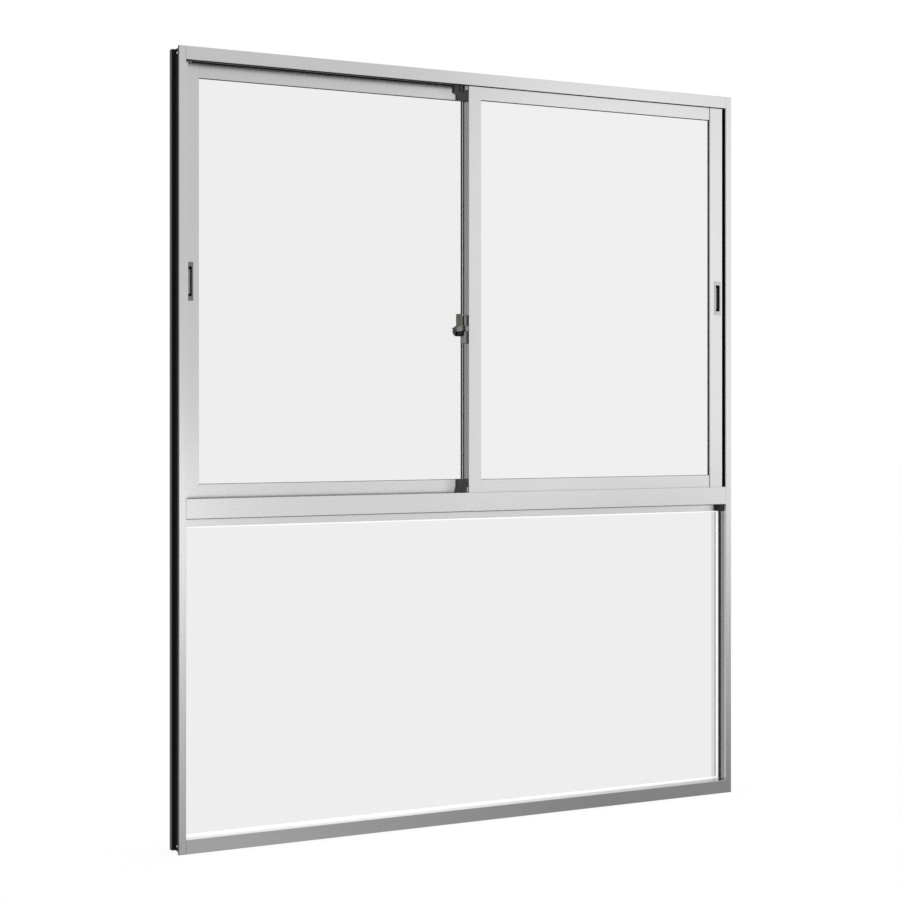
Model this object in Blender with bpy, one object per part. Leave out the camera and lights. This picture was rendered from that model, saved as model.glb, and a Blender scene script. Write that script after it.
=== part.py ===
"""Combination window: a sliding pair above a transom and a fixed light below.

The frame is 70 mm deep and made of thin-walled aluminium extrusions.
X runs along the width, Y from the room to the outside, Z up.
The origin lies in the middle of the sill's front foot, on its flat underside.
"""

import math

import bmesh
import bpy
from mathutils import Matrix, Vector

# Whole frame
FRAME_WIDTH = 1.580
FRAME_HEIGHT = 1.900
FRAME_DEPTH = 0.070
JAMB_FACE = 0.0170
HEAD_FACE = 0.0314
SILL_FACE = 0.0340
TRANSOM_FACE = 0.0470
TRANSOM_TOP = 0.8350
FRAME_WALL = 0.0018
ANCHOR_SETBACK = 0.0085
FRONT_FOOT_DEPTH = 0.0090
REAR_FOOT_DEPTH = 0.0160
SILL_FALL = 0.0080
OUTER_ARRIS_RADIUS = 0.0012
ARRIS_RADIUS = 0.0006

# Clearances
SEAT_GAP = 0.0003
SAW_STUB = 0.0002
CUT_OVERRUN = 0.0100

# Guides for the sliding pair
FIN_WALL = 0.0016
JAMB_FIN_REACH = 0.0280
HEAD_LIP_WALL = 0.0020
TRACK_FLOOR_DROP = 0.0140
UPSTAND_WALL = 0.0020
TRACK_RIB_WIDTH = 0.0020
TRACK_RIB_HEIGHT = 0.0120
TRACK_CAP_WALL = 0.0008
TRACK_CAP_SKIRT = 0.0060

# Sliding sashes, measured from the room face of the frame
INNER_SASH_FACE = 0.0050
SASH_SPACING = 0.0040
REAR_REVEAL = 0.0070
RAIL_SETBACK = 0.0025
SASH_TOP_OVERLAP = 0.0090
FIN_CLEARANCE = 0.0040
SASH_FLOOR_CLEARANCE = 0.0020
SASH_WALL = 0.0018
LOCK_STILE_FACE = 0.0400
MEETING_STILE_FACE = 0.0350
TOP_RAIL_SIGHT = 0.0346
BOTTOM_RAIL_FACE = 0.0445
INNER_SASH_SIDE_GAP = 0.0266
OUTER_SASH_SIDE_GAP = 0.0215
MEETING_SETBACK = 0.0190
STILE_GROOVE_WIDTH = 0.0070
STILE_GROOVE_DEPTH = 0.0075

# Hooks that join the two meeting stiles
INTERLOCK_STEP = 0.0010
INTERLOCK_WALL = 0.0015
INTERLOCK_GAP = 0.0004
INTERLOCK_LIP = 0.0022
INTERLOCK_SETBACK = 0.0056

# Glazing of the sashes
SASH_POCKET_DEPTH = 0.0100
SASH_LIP_WALL = 0.0015
SASH_POCKET_WIDTH = 0.0086
SASH_GLASS_THICKNESS = 0.0050
SASH_GLASS_COVER = 0.0080
GASKET_SHOW = 0.0008
GASKET_FLOOR = 0.0012
GASKET_NOSE = 0.0032

# Glazing of the fixed light
FIXED_LIP_DROP = 0.0195
FIXED_LIP_WALL = 0.0020
FIXED_BEAD_DEPTH = 0.0074
FIXED_FLOOR_DROP = 0.0065
FIXED_GLASS_THICKNESS = 0.0060
FIXED_GLASS_COVER = 0.0047
FIXED_SEAL_WIDTH = 0.0017
FIXED_SEAL_SHOW = 0.0040
FILLER_GROOVE_LENGTH = 0.0087
FILLER_GROOVE = 0.0035

# Rollers
ROLLER_GROOVE_RADIUS = 0.0075
ROLLER_FLANGE_RADIUS = 0.0095
ROLLER_WIDTH = 0.0100
ROLLER_GROOVE_WIDTH = 0.0046
ROLLER_AXLE_RADIUS = 0.0020
ROLLER_INSET = 0.0900

# Finger pulls
PULL_WIDTH = 0.0200
PULL_HEIGHT = 0.0920
PULL_CENTRE = 1.3493
PULL_PLATE = 0.0010
PULL_CORNER_RADIUS = 0.0015
PULL_OFFSET = 0.0054
RECESS_WIDTH = 0.0130
RECESS_HEIGHT = 0.0710
RECESS_DEPTH = 0.0080
RECESS_WALL = 0.0008
RECESS_SLOT_HEIGHT = 0.0062

# Crescent lock; sideways sizes are measured from the inner meeting stile's edge
CRESCENT_PIVOT = 1.2510
CRESCENT_PIVOT_DEPTH = 0.0205
CRESCENT_BASE_BELOW = 0.0375
CRESCENT_BASE_ABOVE = 0.0340
CRESCENT_BASE_WIDTH = 0.0250
CRESCENT_BASE_PLATE = 0.0045
CRESCENT_CORNER_RADIUS = 0.0020
HOUSING_REACH = 0.0140
HOUSING_WEB = 0.0025
HOUSING_FRONT = 0.0080
HOUSING_DEPTH = 0.0170
HOUSING_MARGIN = 0.0010
HUB_ROOM_BELOW = 0.0075
HUB_ROOM_ABOVE = 0.0095
CATCH_WIDTH = 0.0105
CATCH_HEIGHT = 0.0140
CATCH_THICKNESS = 0.0015
CATCH_RADIUS = 0.0030
CAM_OFFSET = 0.0305
CAM_PLATE = 0.0030
CAM_RIM_RADIUS = 0.0196
CAM_RIM_WALL = 0.0026
CAM_RIM_REACH = 0.0120
CAM_LOW_DEGREES = -95.0
CAM_HIGH_DEGREES = 12.0
CAM_EDGE_DEGREES = 4.0
CAM_NOTCH_DEGREES = -9.0
CAM_NOTCH_SPREAD = 13.0
CAM_NOTCH_DEPTH = 0.0036
HUB_RADIUS = 0.0065
RIVET_HEIGHT = 0.0008
LEVER_WIDTH = 0.0115
LEVER_DEPTH = 0.0110
LEVER_FRONT = 0.0080
LEVER_BELOW = 0.0080
LEVER_ABOVE = 0.0370
LEVER_RADIUS = 0.0030
KEEPER_PLATE = 0.0018
KEEPER_TONGUE_HEIGHT = 0.0140
KEEPER_HEIGHT = 0.0500
KEEPER_STRAP = 0.0190

# Draft blocks beside the inner meeting stile
DRAFT_BLOCK_WIDTH = 0.0290
DRAFT_BLOCK_WING = 0.0100
DRAFT_WING_DROP = 0.0190
DRAFT_WING_SLOPE = 0.0050
DRAFT_BLOCK_FLARE = 0.0030
DRAFT_BLOCK_FRONT = 0.0080
DRAFT_BLOCK_BACK = 0.0240
DRAFT_BLOCK_RADIUS = 0.0015
UPPER_BLOCK_SIGHT = 0.0400
LOWER_BLOCK_HEIGHT = 0.0355
FIN_SLOT_WIDTH = 0.0050
FIN_SLOT_CLEARANCE = 0.0010
BLOCK_GROOVE_WIDTH = 0.0040
BLOCK_GROOVE_DEPTH = 0.0045
TONGUE_WIDTH = 0.0060
TONGUE_HEIGHT = 0.0166
TONGUE_INSET = 0.0070
CURVE_RADIUS = 0.0240
CURVE_RISE = 0.0056
CURVE_OFFSET = 0.0050
CURVE_DEGREES = 62.0

# Places that follow from the sizes above
LEFT = -FRAME_WIDTH / 2.0
RIGHT = FRAME_WIDTH / 2.0
ROOM_FACE = -FRONT_FOOT_DEPTH / 2.0
REAR_FOOT_START = FRAME_DEPTH - REAR_FOOT_DEPTH
WEB_INNER = ANCHOR_SETBACK + FRAME_WALL
WEB_SEAT = WEB_INNER + SAW_STUB + SEAT_GAP
HEAD_BOTTOM = FRAME_HEIGHT - HEAD_FACE
HEAD_WEB = FRAME_HEIGHT - WEB_INNER
HEAD_FIN_BOTTOM = HEAD_BOTTOM
TRANSOM_BOTTOM = TRANSOM_TOP - TRANSOM_FACE
TRACK_FLOOR = TRANSOM_TOP - TRACK_FLOOR_DROP
TRACK_TOP = TRACK_FLOOR + TRACK_RIB_HEIGHT + SEAT_GAP + TRACK_CAP_WALL
SASH_THICKNESS = (FRAME_DEPTH - INNER_SASH_FACE - SASH_SPACING - REAR_REVEAL) / 2.0
OUTER_SASH_FACE = INNER_SASH_FACE + SASH_THICKNESS + SASH_SPACING
POCKET_FRONT = RAIL_SETBACK + SASH_LIP_WALL
POCKET_BACK = POCKET_FRONT + SASH_POCKET_WIDTH
INNER_TRACK = INNER_SASH_FACE + SASH_THICKNESS / 2.0
OUTER_TRACK = OUTER_SASH_FACE + SASH_THICKNESS / 2.0
SASH_TOP = HEAD_BOTTOM + SASH_TOP_OVERLAP
SASH_BOTTOM = TRACK_FLOOR + SASH_FLOOR_CLEARANCE
TOP_RAIL_FACE = TOP_RAIL_SIGHT + SASH_TOP_OVERLAP
UPPER_CHANNEL = HEAD_FIN_BOTTOM - FIN_CLEARANCE
LOWER_CHANNEL = SASH_BOTTOM + BOTTOM_RAIL_FACE - SASH_POCKET_DEPTH - SASH_WALL
INNER_MEETING_EDGE = FRAME_WIDTH / 2.0 - MEETING_SETBACK
OUTER_MEETING_EDGE = INNER_MEETING_EDGE + MEETING_STILE_FACE - INTERLOCK_STEP
FIXED_BEAD_BACK = REAR_FOOT_START - SEAT_GAP
FIXED_BEAD_FRONT = FIXED_BEAD_BACK - FIXED_BEAD_DEPTH
FIXED_GLASS_BACK = FIXED_BEAD_FRONT - SEAT_GAP - FIXED_SEAL_WIDTH - SEAT_GAP
FIXED_GLASS_FRONT = FIXED_GLASS_BACK - FIXED_GLASS_THICKNESS
FIXED_LIP_BACK = FIXED_GLASS_FRONT - SEAT_GAP - FIXED_SEAL_WIDTH - SEAT_GAP
FIXED_LIP_DEPTH = FIXED_LIP_BACK - FIXED_LIP_WALL
FILLER_FACE_DEPTH = FIXED_LIP_BACK - FILLER_GROOVE_LENGTH
LOCK_EDGE = LEFT + INNER_MEETING_EDGE - SEAT_GAP
CAM_OUTER = LOCK_EDGE - CAM_OFFSET
CAM_INNER = CAM_OUTER + CAM_PLATE
ARC_STEPS = 4
ROUND_STEPS = 32

MATERIALS = {}


def clear_scene():
    """Remove whatever the file holds before the window is built."""
    for item in list(bpy.data.objects):
        bpy.data.objects.remove(item, do_unlink=True)


def material(name, colour, roughness, metallic, transmission=0.0):
    """Return the named Principled material, made once."""
    if name not in MATERIALS:
        made = bpy.data.materials.new(name)
        made.use_nodes = True
        shader = made.node_tree.nodes["Principled BSDF"]
        shader.inputs["Base Color"].default_value = (*colour, 1.0)
        shader.inputs["Roughness"].default_value = roughness
        shader.inputs["Metallic"].default_value = metallic
        shader.inputs["Transmission Weight"].default_value = transmission
        made.diffuse_color = (*colour, 1.0)
        MATERIALS[name] = made
    return MATERIALS[name]


def aluminium(name):
    """Silver anodised finish, one material for each extrusion."""
    return material(name + "_anodised", (0.62, 0.62, 0.61), 0.38, 0.85)


def stainless(name):
    return material(name + "_stainless", (0.66, 0.65, 0.63), 0.25, 1.0)


def rubber(name):
    return material(name + "_rubber", (0.10, 0.10, 0.09), 0.75, 0.0)


def plastic(name):
    return material(name + "_plastic", (0.035, 0.035, 0.037), 0.5, 0.0)


def finish(name, mesh_data, surface, smooth_degrees=None):
    """Turn a bmesh into a named object with outward faces and one material."""
    bmesh.ops.recalc_face_normals(mesh_data, faces=mesh_data.faces[:])
    mesh = bpy.data.meshes.new(name)
    mesh_data.to_mesh(mesh)
    mesh_data.free()
    if smooth_degrees is not None:
        mesh.shade_smooth()
        mesh.set_sharp_from_angle(angle=math.radians(smooth_degrees))
    mesh.materials.append(surface)
    piece = bpy.data.objects.new(name, mesh)
    bpy.context.scene.collection.objects.link(piece)
    return piece


def rounded(corners, steps=ARC_STEPS):
    """Replace each corner that states a radius by an arc."""
    points = []
    for index, corner in enumerate(corners):
        here = Vector(corner[:2])
        if len(corner) < 3:
            points.append(here)
            continue
        before = (Vector(corners[index - 1][:2]) - here).normalized()
        after = (Vector(corners[(index + 1) % len(corners)][:2]) - here).normalized()
        half_angle = before.angle(after) / 2.0
        centre = here + (before + after).normalized() * corner[2] / math.sin(half_angle)
        start = here + before * corner[2] / math.tan(half_angle) - centre
        end = here + after * corner[2] / math.tan(half_angle) - centre
        sweep = start.angle_signed(end)
        for step in range(steps + 1):
            turn = Matrix.Rotation(-sweep * step / steps, 2)
            points.append(centre + turn @ start)
    return points


def rectangle(low_a, low_b, high_a, high_b, radius=None):
    """Four corners, with one radius for all where it is given."""
    corners = [(low_a, low_b), (high_a, low_b), (high_a, high_b), (low_a, high_b)]
    if radius is None:
        return corners
    return [(a, b, radius) for a, b in corners]


def placed(axis, along, a, b):
    """A profile's point in space: (x, y) for an upright, (y, z) for a rail, (x, z) for a plate."""
    if axis == "Z":
        return Vector((a, b, along))
    if axis == "X":
        return Vector((along, a, b))
    return Vector((a, along, b))


def add_profile(mesh_data, loops, axis, start, end):
    """Fill an outline with its chambers and extrude it from start to end."""
    edges = []
    for loop in loops:
        verts = [mesh_data.verts.new(placed(axis, start, a, b)) for a, b in loop]
        for index, vert in enumerate(verts):
            edges.append(mesh_data.edges.new((vert, verts[(index + 1) % len(verts)])))
    filled = bmesh.ops.triangle_fill(mesh_data, use_beauty=True, use_dissolve=False, edges=edges)
    faces = [item for item in filled["geom"] if isinstance(item, bmesh.types.BMFace)]
    pushed = bmesh.ops.extrude_face_region(mesh_data, geom=faces)
    moved = [item for item in pushed["geom"] if isinstance(item, bmesh.types.BMVert)]
    bmesh.ops.translate(mesh_data, verts=moved, vec=placed(axis, end - start, 0.0, 0.0))


def extrusion(name, loops, axis, start, end, surface, smooth_degrees=None):
    """One extruded piece; the first loop is its outline and the rest are chambers."""
    mesh_data = bmesh.new()
    add_profile(mesh_data, [rounded(loop) for loop in loops], axis, start, end)
    return finish(name, mesh_data, surface, smooth_degrees)


def cut_profile(piece, loop, axis, start, end):
    """Cut an extruded outline out of a piece; the cutter itself is never part of the window."""
    number = len(piece.modifiers) + 1
    guide = material("cutter_guide", (0.8, 0.1, 0.1), 0.5, 0.0)
    cutter = extrusion(f"{piece.name}_cutter_{number}", [loop], axis, start, end, guide)
    cutter.hide_render = True
    cutter.display_type = "WIRE"
    boolean = piece.modifiers.new(f"cut_{number}", "BOOLEAN")
    boolean.operation = "DIFFERENCE"
    boolean.solver = "EXACT"
    boolean.object = cutter


def cut(piece, boxes):
    """Cut plain boxes, each given by its low and high corners, out of a piece."""
    for low, high in boxes:
        cut_profile(piece, rectangle(low[0], low[1], high[0], high[1]), "Z", low[2], high[2])


def at_side(side, inset):
    """X of a point that lies inset from the frame's left or right edge."""
    return LEFT + inset if side == "left" else RIGHT - inset


def depth(value):
    """Y of a point that lies value behind the room face."""
    return ROOM_FACE + value


def mirrored(side, loop):
    """A profile given by inset and depth, placed at the left or right edge."""
    return [(at_side(side, corner[0]), depth(corner[1]), *corner[2:]) for corner in loop]


def lengthwise(loop):
    """A rail's profile given by depth and height."""
    return [(depth(corner[0]), *corner[1:]) for corner in loop]


def make_jamb(side):
    """Full-height side member with a nose, a web with two guide fins and a rear leg."""
    fins = []
    for track in (INNER_TRACK, OUTER_TRACK):
        fins += [
            (WEB_INNER, track - FIN_WALL / 2.0),
            (JAMB_FIN_REACH, track - FIN_WALL / 2.0),
            (JAMB_FIN_REACH, track + FIN_WALL / 2.0),
            (WEB_INNER, track + FIN_WALL / 2.0),
        ]
    outline = [
        (0.0, 0.0, OUTER_ARRIS_RADIUS),
        (JAMB_FACE, 0.0, ARRIS_RADIUS),
        (JAMB_FACE, FRONT_FOOT_DEPTH),
        (WEB_INNER, FRONT_FOOT_DEPTH),
        *fins,
        (WEB_INNER, REAR_FOOT_START),
        (JAMB_FACE, REAR_FOOT_START),
        (JAMB_FACE, FRAME_DEPTH, ARRIS_RADIUS),
        (0.0, FRAME_DEPTH, ARRIS_RADIUS),
        (0.0, REAR_FOOT_START),
        (ANCHOR_SETBACK, REAR_FOOT_START),
        (ANCHOR_SETBACK, FRONT_FOOT_DEPTH),
        (0.0, FRONT_FOOT_DEPTH),
    ]
    nose = rectangle(FRAME_WALL, FRAME_WALL, JAMB_FACE - FRAME_WALL, FRONT_FOOT_DEPTH - FRAME_WALL)
    leg = rectangle(
        FRAME_WALL, REAR_FOOT_START + FRAME_WALL, JAMB_FACE - FRAME_WALL, FRAME_DEPTH - FRAME_WALL
    )
    loops = [mirrored(side, loop) for loop in (outline, nose, leg)]
    jamb = extrusion(f"{side}_jamb", loops, "Z", 0.0, FRAME_HEIGHT, aluminium("jamb"))
    near, far = sorted(
        (at_side(side, WEB_INNER + SAW_STUB), at_side(side, JAMB_FIN_REACH + CUT_OVERRUN))
    )
    front, back = depth(FRONT_FOOT_DEPTH + SAW_STUB), depth(REAR_FOOT_START - SAW_STUB)
    below = ((near, front, -CUT_OVERRUN), (far, back, TRANSOM_TOP + SEAT_GAP))
    above = ((near, front, HEAD_FIN_BOTTOM - SEAT_GAP), (far, back, FRAME_HEIGHT + CUT_OVERRUN))
    cut(jamb, [below, above])


def rail_end_cuts(bottom, top, extra=()):
    """Step a frame rail's ends round the jambs' noses and rear legs."""
    boxes = []
    low, high = bottom - CUT_OVERRUN, top + CUT_OVERRUN
    bands = [
        (ROOM_FACE - CUT_OVERRUN, depth(FRONT_FOOT_DEPTH) + SEAT_GAP, low, high),
        (depth(REAR_FOOT_START) - SEAT_GAP, depth(FRAME_DEPTH) + CUT_OVERRUN, low, high),
        *extra,
    ]
    for side in ("left", "right"):
        xs = sorted((at_side(side, -CUT_OVERRUN), at_side(side, JAMB_FACE + SEAT_GAP)))
        for low_y, high_y, low_z, high_z in bands:
            boxes.append(((xs[0], low_y, low_z), (xs[1], high_y, high_z)))
    return boxes


def frame_rail(name, loops, bottom, top, extra=()):
    """A frame rail that runs from web to web between the jambs."""
    reach = FRAME_WIDTH / 2.0 - WEB_SEAT
    rail = extrusion(name, [lengthwise(loop) for loop in loops], "X", -reach, reach, aluminium(name))
    cut(rail, rail_end_cuts(bottom, top, extra))
    return rail


def make_head():
    """Top member: two lips and two guide fins hang from its web, and two feet stand on it."""
    fins = []
    for track in (INNER_TRACK, OUTER_TRACK):
        fins += [
            (track - FIN_WALL / 2.0, HEAD_WEB),
            (track - FIN_WALL / 2.0, HEAD_FIN_BOTTOM),
            (track + FIN_WALL / 2.0, HEAD_FIN_BOTTOM),
            (track + FIN_WALL / 2.0, HEAD_WEB),
        ]
    web_top = FRAME_HEIGHT - ANCHOR_SETBACK
    outline = [
        (0.0, HEAD_BOTTOM, ARRIS_RADIUS),
        (HEAD_LIP_WALL, HEAD_BOTTOM),
        (HEAD_LIP_WALL, HEAD_WEB),
        *fins,
        (FRAME_DEPTH - HEAD_LIP_WALL, HEAD_WEB),
        (FRAME_DEPTH - HEAD_LIP_WALL, HEAD_BOTTOM),
        (FRAME_DEPTH, HEAD_BOTTOM),
        (FRAME_DEPTH, FRAME_HEIGHT),
        (REAR_FOOT_START, FRAME_HEIGHT),
        (REAR_FOOT_START, web_top),
        (FRONT_FOOT_DEPTH, web_top),
        (FRONT_FOOT_DEPTH, FRAME_HEIGHT),
        (0.0, FRAME_HEIGHT, ARRIS_RADIUS),
    ]
    low, high = HEAD_WEB + FRAME_WALL, FRAME_HEIGHT - FRAME_WALL
    front = rectangle(FRAME_WALL, low, FRONT_FOOT_DEPTH - FRAME_WALL, high)
    rear = rectangle(REAR_FOOT_START + FRAME_WALL, low, FRAME_DEPTH - FRAME_WALL, high)
    frame_rail("head", [outline, front, rear], HEAD_BOTTOM, FRAME_HEIGHT)


def make_transom():
    """Middle member: a track with upstand and ribs above, a glazing pocket below."""
    ribs = []
    rib_top = TRACK_FLOOR + TRACK_RIB_HEIGHT
    for track in (OUTER_TRACK, INNER_TRACK):
        ribs += [
            (track + TRACK_RIB_WIDTH / 2.0, TRACK_FLOOR),
            (track + TRACK_RIB_WIDTH / 2.0, rib_top),
            (track - TRACK_RIB_WIDTH / 2.0, rib_top),
            (track - TRACK_RIB_WIDTH / 2.0, TRACK_FLOOR),
        ]
    outline = [
        (0.0, TRANSOM_BOTTOM, ARRIS_RADIUS),
        (FIXED_LIP_DEPTH, TRANSOM_BOTTOM),
        (FIXED_LIP_DEPTH, TRANSOM_BOTTOM - FIXED_LIP_DROP, ARRIS_RADIUS),
        (FIXED_LIP_BACK, TRANSOM_BOTTOM - FIXED_LIP_DROP),
        (FIXED_LIP_BACK, TRANSOM_BOTTOM),
        (FRAME_DEPTH, TRANSOM_BOTTOM),
        (FRAME_DEPTH, TRACK_FLOOR),
        *ribs,
        (UPSTAND_WALL, TRACK_FLOOR),
        (UPSTAND_WALL, TRANSOM_TOP),
        (0.0, TRANSOM_TOP, ARRIS_RADIUS),
    ]
    low, high = TRANSOM_BOTTOM + FRAME_WALL, TRACK_FLOOR - FRAME_WALL
    front = rectangle(FRAME_WALL, low, FIXED_LIP_BACK - FRAME_WALL, high)
    rear = rectangle(FIXED_LIP_BACK, low, FRAME_DEPTH - FRAME_WALL, high)
    lip_band = (
        depth(FRONT_FOOT_DEPTH),
        depth(REAR_FOOT_START),
        TRANSOM_BOTTOM - FIXED_LIP_DROP - CUT_OVERRUN,
        TRANSOM_BOTTOM - SEAT_GAP,
    )
    frame_rail("transom", [outline, front, rear], TRANSOM_BOTTOM, TRANSOM_TOP, [lip_band])


def make_sill():
    """Bottom member with a flat top, a glazing pocket and two feet."""
    floor = SILL_FACE - FIXED_FLOOR_DROP
    nose_top = floor - SILL_FALL
    outline = [
        (0.0, 0.0, ARRIS_RADIUS),
        (FRONT_FOOT_DEPTH, 0.0),
        (FRONT_FOOT_DEPTH, ANCHOR_SETBACK),
        (REAR_FOOT_START, ANCHOR_SETBACK),
        (REAR_FOOT_START, 0.0),
        (FRAME_DEPTH, 0.0),
        (FRAME_DEPTH, nose_top, ARRIS_RADIUS),
        (FIXED_BEAD_BACK + SAW_STUB, floor),
        (FIXED_LIP_BACK, floor),
        (FIXED_LIP_BACK, SILL_FACE),
        (0.0, SILL_FACE, ARRIS_RADIUS),
    ]
    front = [
        (FRAME_WALL, FRAME_WALL),
        (FRONT_FOOT_DEPTH - FRAME_WALL, FRAME_WALL),
        (FRONT_FOOT_DEPTH - FRAME_WALL, WEB_INNER),
        (FIXED_LIP_BACK - FRAME_WALL, WEB_INNER),
        (FIXED_LIP_BACK - FRAME_WALL, SILL_FACE - FRAME_WALL),
        (FRAME_WALL, SILL_FACE - FRAME_WALL),
    ]
    rear = [
        (FIXED_LIP_BACK, WEB_INNER),
        (REAR_FOOT_START + FRAME_WALL, WEB_INNER),
        (REAR_FOOT_START + FRAME_WALL, FRAME_WALL),
        (FRAME_DEPTH - FRAME_WALL, FRAME_WALL),
        (FRAME_DEPTH - FRAME_WALL, nose_top - FRAME_WALL),
        (FIXED_BEAD_BACK - FRAME_WALL, floor - FRAME_WALL),
        (FIXED_LIP_BACK, floor - FRAME_WALL),
    ]
    frame_rail("sill", [outline, front, rear], 0.0, SILL_FACE)


def make_glazing_filler(side):
    """Snap-in side piece that gives the fixed light its deep inner reveal."""
    base = WEB_SEAT
    front = FRONT_FOOT_DEPTH + SEAT_GAP
    wall = FRAME_WALL
    outline = [
        (base, front),
        (JAMB_FACE, front),
        (JAMB_FACE, FILLER_FACE_DEPTH, ARRIS_RADIUS),
        (JAMB_FACE - FILLER_GROOVE, FILLER_FACE_DEPTH),
        (JAMB_FACE - FILLER_GROOVE, FIXED_LIP_BACK),
        (base, FIXED_LIP_BACK),
    ]
    chamber = rectangle(base + wall, front + wall, JAMB_FACE - wall, FILLER_FACE_DEPTH - wall)
    loops = [mirrored(side, loop) for loop in (outline, chamber)]
    low, high = SILL_FACE + SEAT_GAP, TRANSOM_BOTTOM - SEAT_GAP
    extrusion(f"{side}_glazing_filler", loops, "Z", low, high, aluminium("glazing_filler"))


def make_side_bead(side):
    """Outer bead of the fixed light beside a jamb."""
    base = WEB_SEAT
    back = FIXED_BEAD_BACK
    wall = FRAME_WALL
    outline = [
        (base, FIXED_BEAD_FRONT),
        (JAMB_FACE, FIXED_BEAD_FRONT),
        (JAMB_FACE, back, ARRIS_RADIUS),
        (base, back),
    ]
    chamber = rectangle(base + wall, FIXED_BEAD_FRONT + wall, JAMB_FACE - wall, back - wall)
    loops = [mirrored(side, loop) for loop in (outline, chamber)]
    low = SILL_FACE - FIXED_FLOOR_DROP + SEAT_GAP
    high = TRANSOM_BOTTOM - SEAT_GAP
    extrusion(f"{side}_bead", loops, "Z", low, high, aluminium("bead"))


def make_level_bead(name, low, high):
    """Outer bead of the fixed light under the transom or on the sill."""
    outline = rectangle(FIXED_BEAD_FRONT, low, FIXED_BEAD_BACK, high)
    wall = FRAME_WALL
    chamber = rectangle(FIXED_BEAD_FRONT + wall, low + wall, FIXED_BEAD_BACK - wall, high - wall)
    reach = FRAME_WIDTH / 2.0 - JAMB_FACE - SEAT_GAP
    loops = [lengthwise(loop) for loop in (outline, chamber)]
    extrusion(name, loops, "X", -reach, reach, aluminium("bead"))


def mitred_ring(name, low, high, section, surface):
    """Carry a section round a rectangle with mitred corners.

    low and high are the (x, z) corners of the rectangle. Each point of the
    section is its inset from the rectangle and its depth behind the room face.
    """
    mesh_data = bmesh.new()
    loops = []
    for inset, back in section:
        corners = rectangle(low[0] + inset, low[1] + inset, high[0] - inset, high[1] - inset)
        loops.append([mesh_data.verts.new((x, depth(back), z)) for x, z in corners])
    for index, loop in enumerate(loops):
        other = loops[(index + 1) % len(loops)]
        for corner in range(len(loop)):
            after = (corner + 1) % len(loop)
            mesh_data.faces.new((loop[corner], loop[after], other[after], other[corner]))
    return finish(name, mesh_data, surface)


def glazing_gasket(name, low, high, cover, show, fronts, surface):
    """U-shaped gasket that wraps a pane's edge; fronts are its four depths."""
    seat_front, pane_front, pane_back, seat_back = fronts
    outer = -SEAT_GAP - GASKET_FLOOR
    lip = cover + show
    nose = min(GASKET_NOSE, (pane_front - seat_front) / 2.0)
    section = [
        (outer, seat_front),
        (cover, seat_front),
        (lip, seat_front + nose),
        (lip, pane_front - SEAT_GAP),
        (-SEAT_GAP, pane_front - SEAT_GAP),
        (-SEAT_GAP, pane_back + SEAT_GAP),
        (lip, pane_back + SEAT_GAP),
        (lip, seat_back - nose),
        (cover, seat_back),
        (outer, seat_back),
    ]
    return mitred_ring(name, low, high, section, surface)


def pane(name, low, high, front, thickness):
    """A sheet of glass, given by its (x, z) corners and its front depth."""
    loops = [rectangle(low[0], low[1], high[0], high[1])]
    surface = material("clear_glass", (0.90, 0.94, 0.93), 0.02, 0.0, 1.0)
    extrusion(name, loops, "Y", depth(front), depth(front + thickness), surface)


def make_fixed_light():
    """Glass, seal, fillers and outer beads below the transom."""
    edge = JAMB_FACE - FIXED_GLASS_COVER
    low = (LEFT + edge, SILL_FACE - FIXED_GLASS_COVER)
    high = (RIGHT - edge, TRANSOM_BOTTOM - FIXED_LIP_DROP + FIXED_GLASS_COVER)
    pane("fixed_glass", low, high, FIXED_GLASS_FRONT, FIXED_GLASS_THICKNESS)
    fronts = (
        FIXED_LIP_BACK + SEAT_GAP,
        FIXED_GLASS_FRONT,
        FIXED_GLASS_BACK,
        FIXED_BEAD_FRONT - SEAT_GAP,
    )
    seal = material("pale_seal", (0.82, 0.82, 0.80), 0.6, 0.0)
    glazing_gasket("fixed_seal", low, high, FIXED_GLASS_COVER, FIXED_SEAL_SHOW, fronts, seal)
    for side in ("left", "right"):
        make_glazing_filler(side)
        make_side_bead(side)
    floor = SILL_FACE - FIXED_FLOOR_DROP + SEAT_GAP
    make_level_bead("bottom_bead", floor, SILL_FACE)
    make_level_bead("top_bead", TRANSOM_BOTTOM - FIXED_LIP_DROP, TRANSOM_BOTTOM - SEAT_GAP)


def make_track(name, track):
    """Stainless cap that the rollers run on, folded over a rib of the transom."""
    inner = TRACK_RIB_WIDTH / 2.0 + SEAT_GAP
    outer = inner + TRACK_CAP_WALL
    rib_top = TRACK_FLOOR + TRACK_RIB_HEIGHT + SEAT_GAP
    foot = TRACK_TOP - TRACK_CAP_SKIRT
    outline = [
        (track - outer, foot),
        (track - inner, foot),
        (track - inner, rib_top),
        (track + inner, rib_top),
        (track + inner, foot),
        (track + outer, foot),
        (track + outer, TRACK_TOP, ARRIS_RADIUS),
        (track - outer, TRACK_TOP, ARRIS_RADIUS),
    ]
    reach = FRAME_WIDTH / 2.0 - WEB_SEAT
    extrusion(name, [lengthwise(outline)], "X", -reach, reach, stainless("track"))


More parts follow.
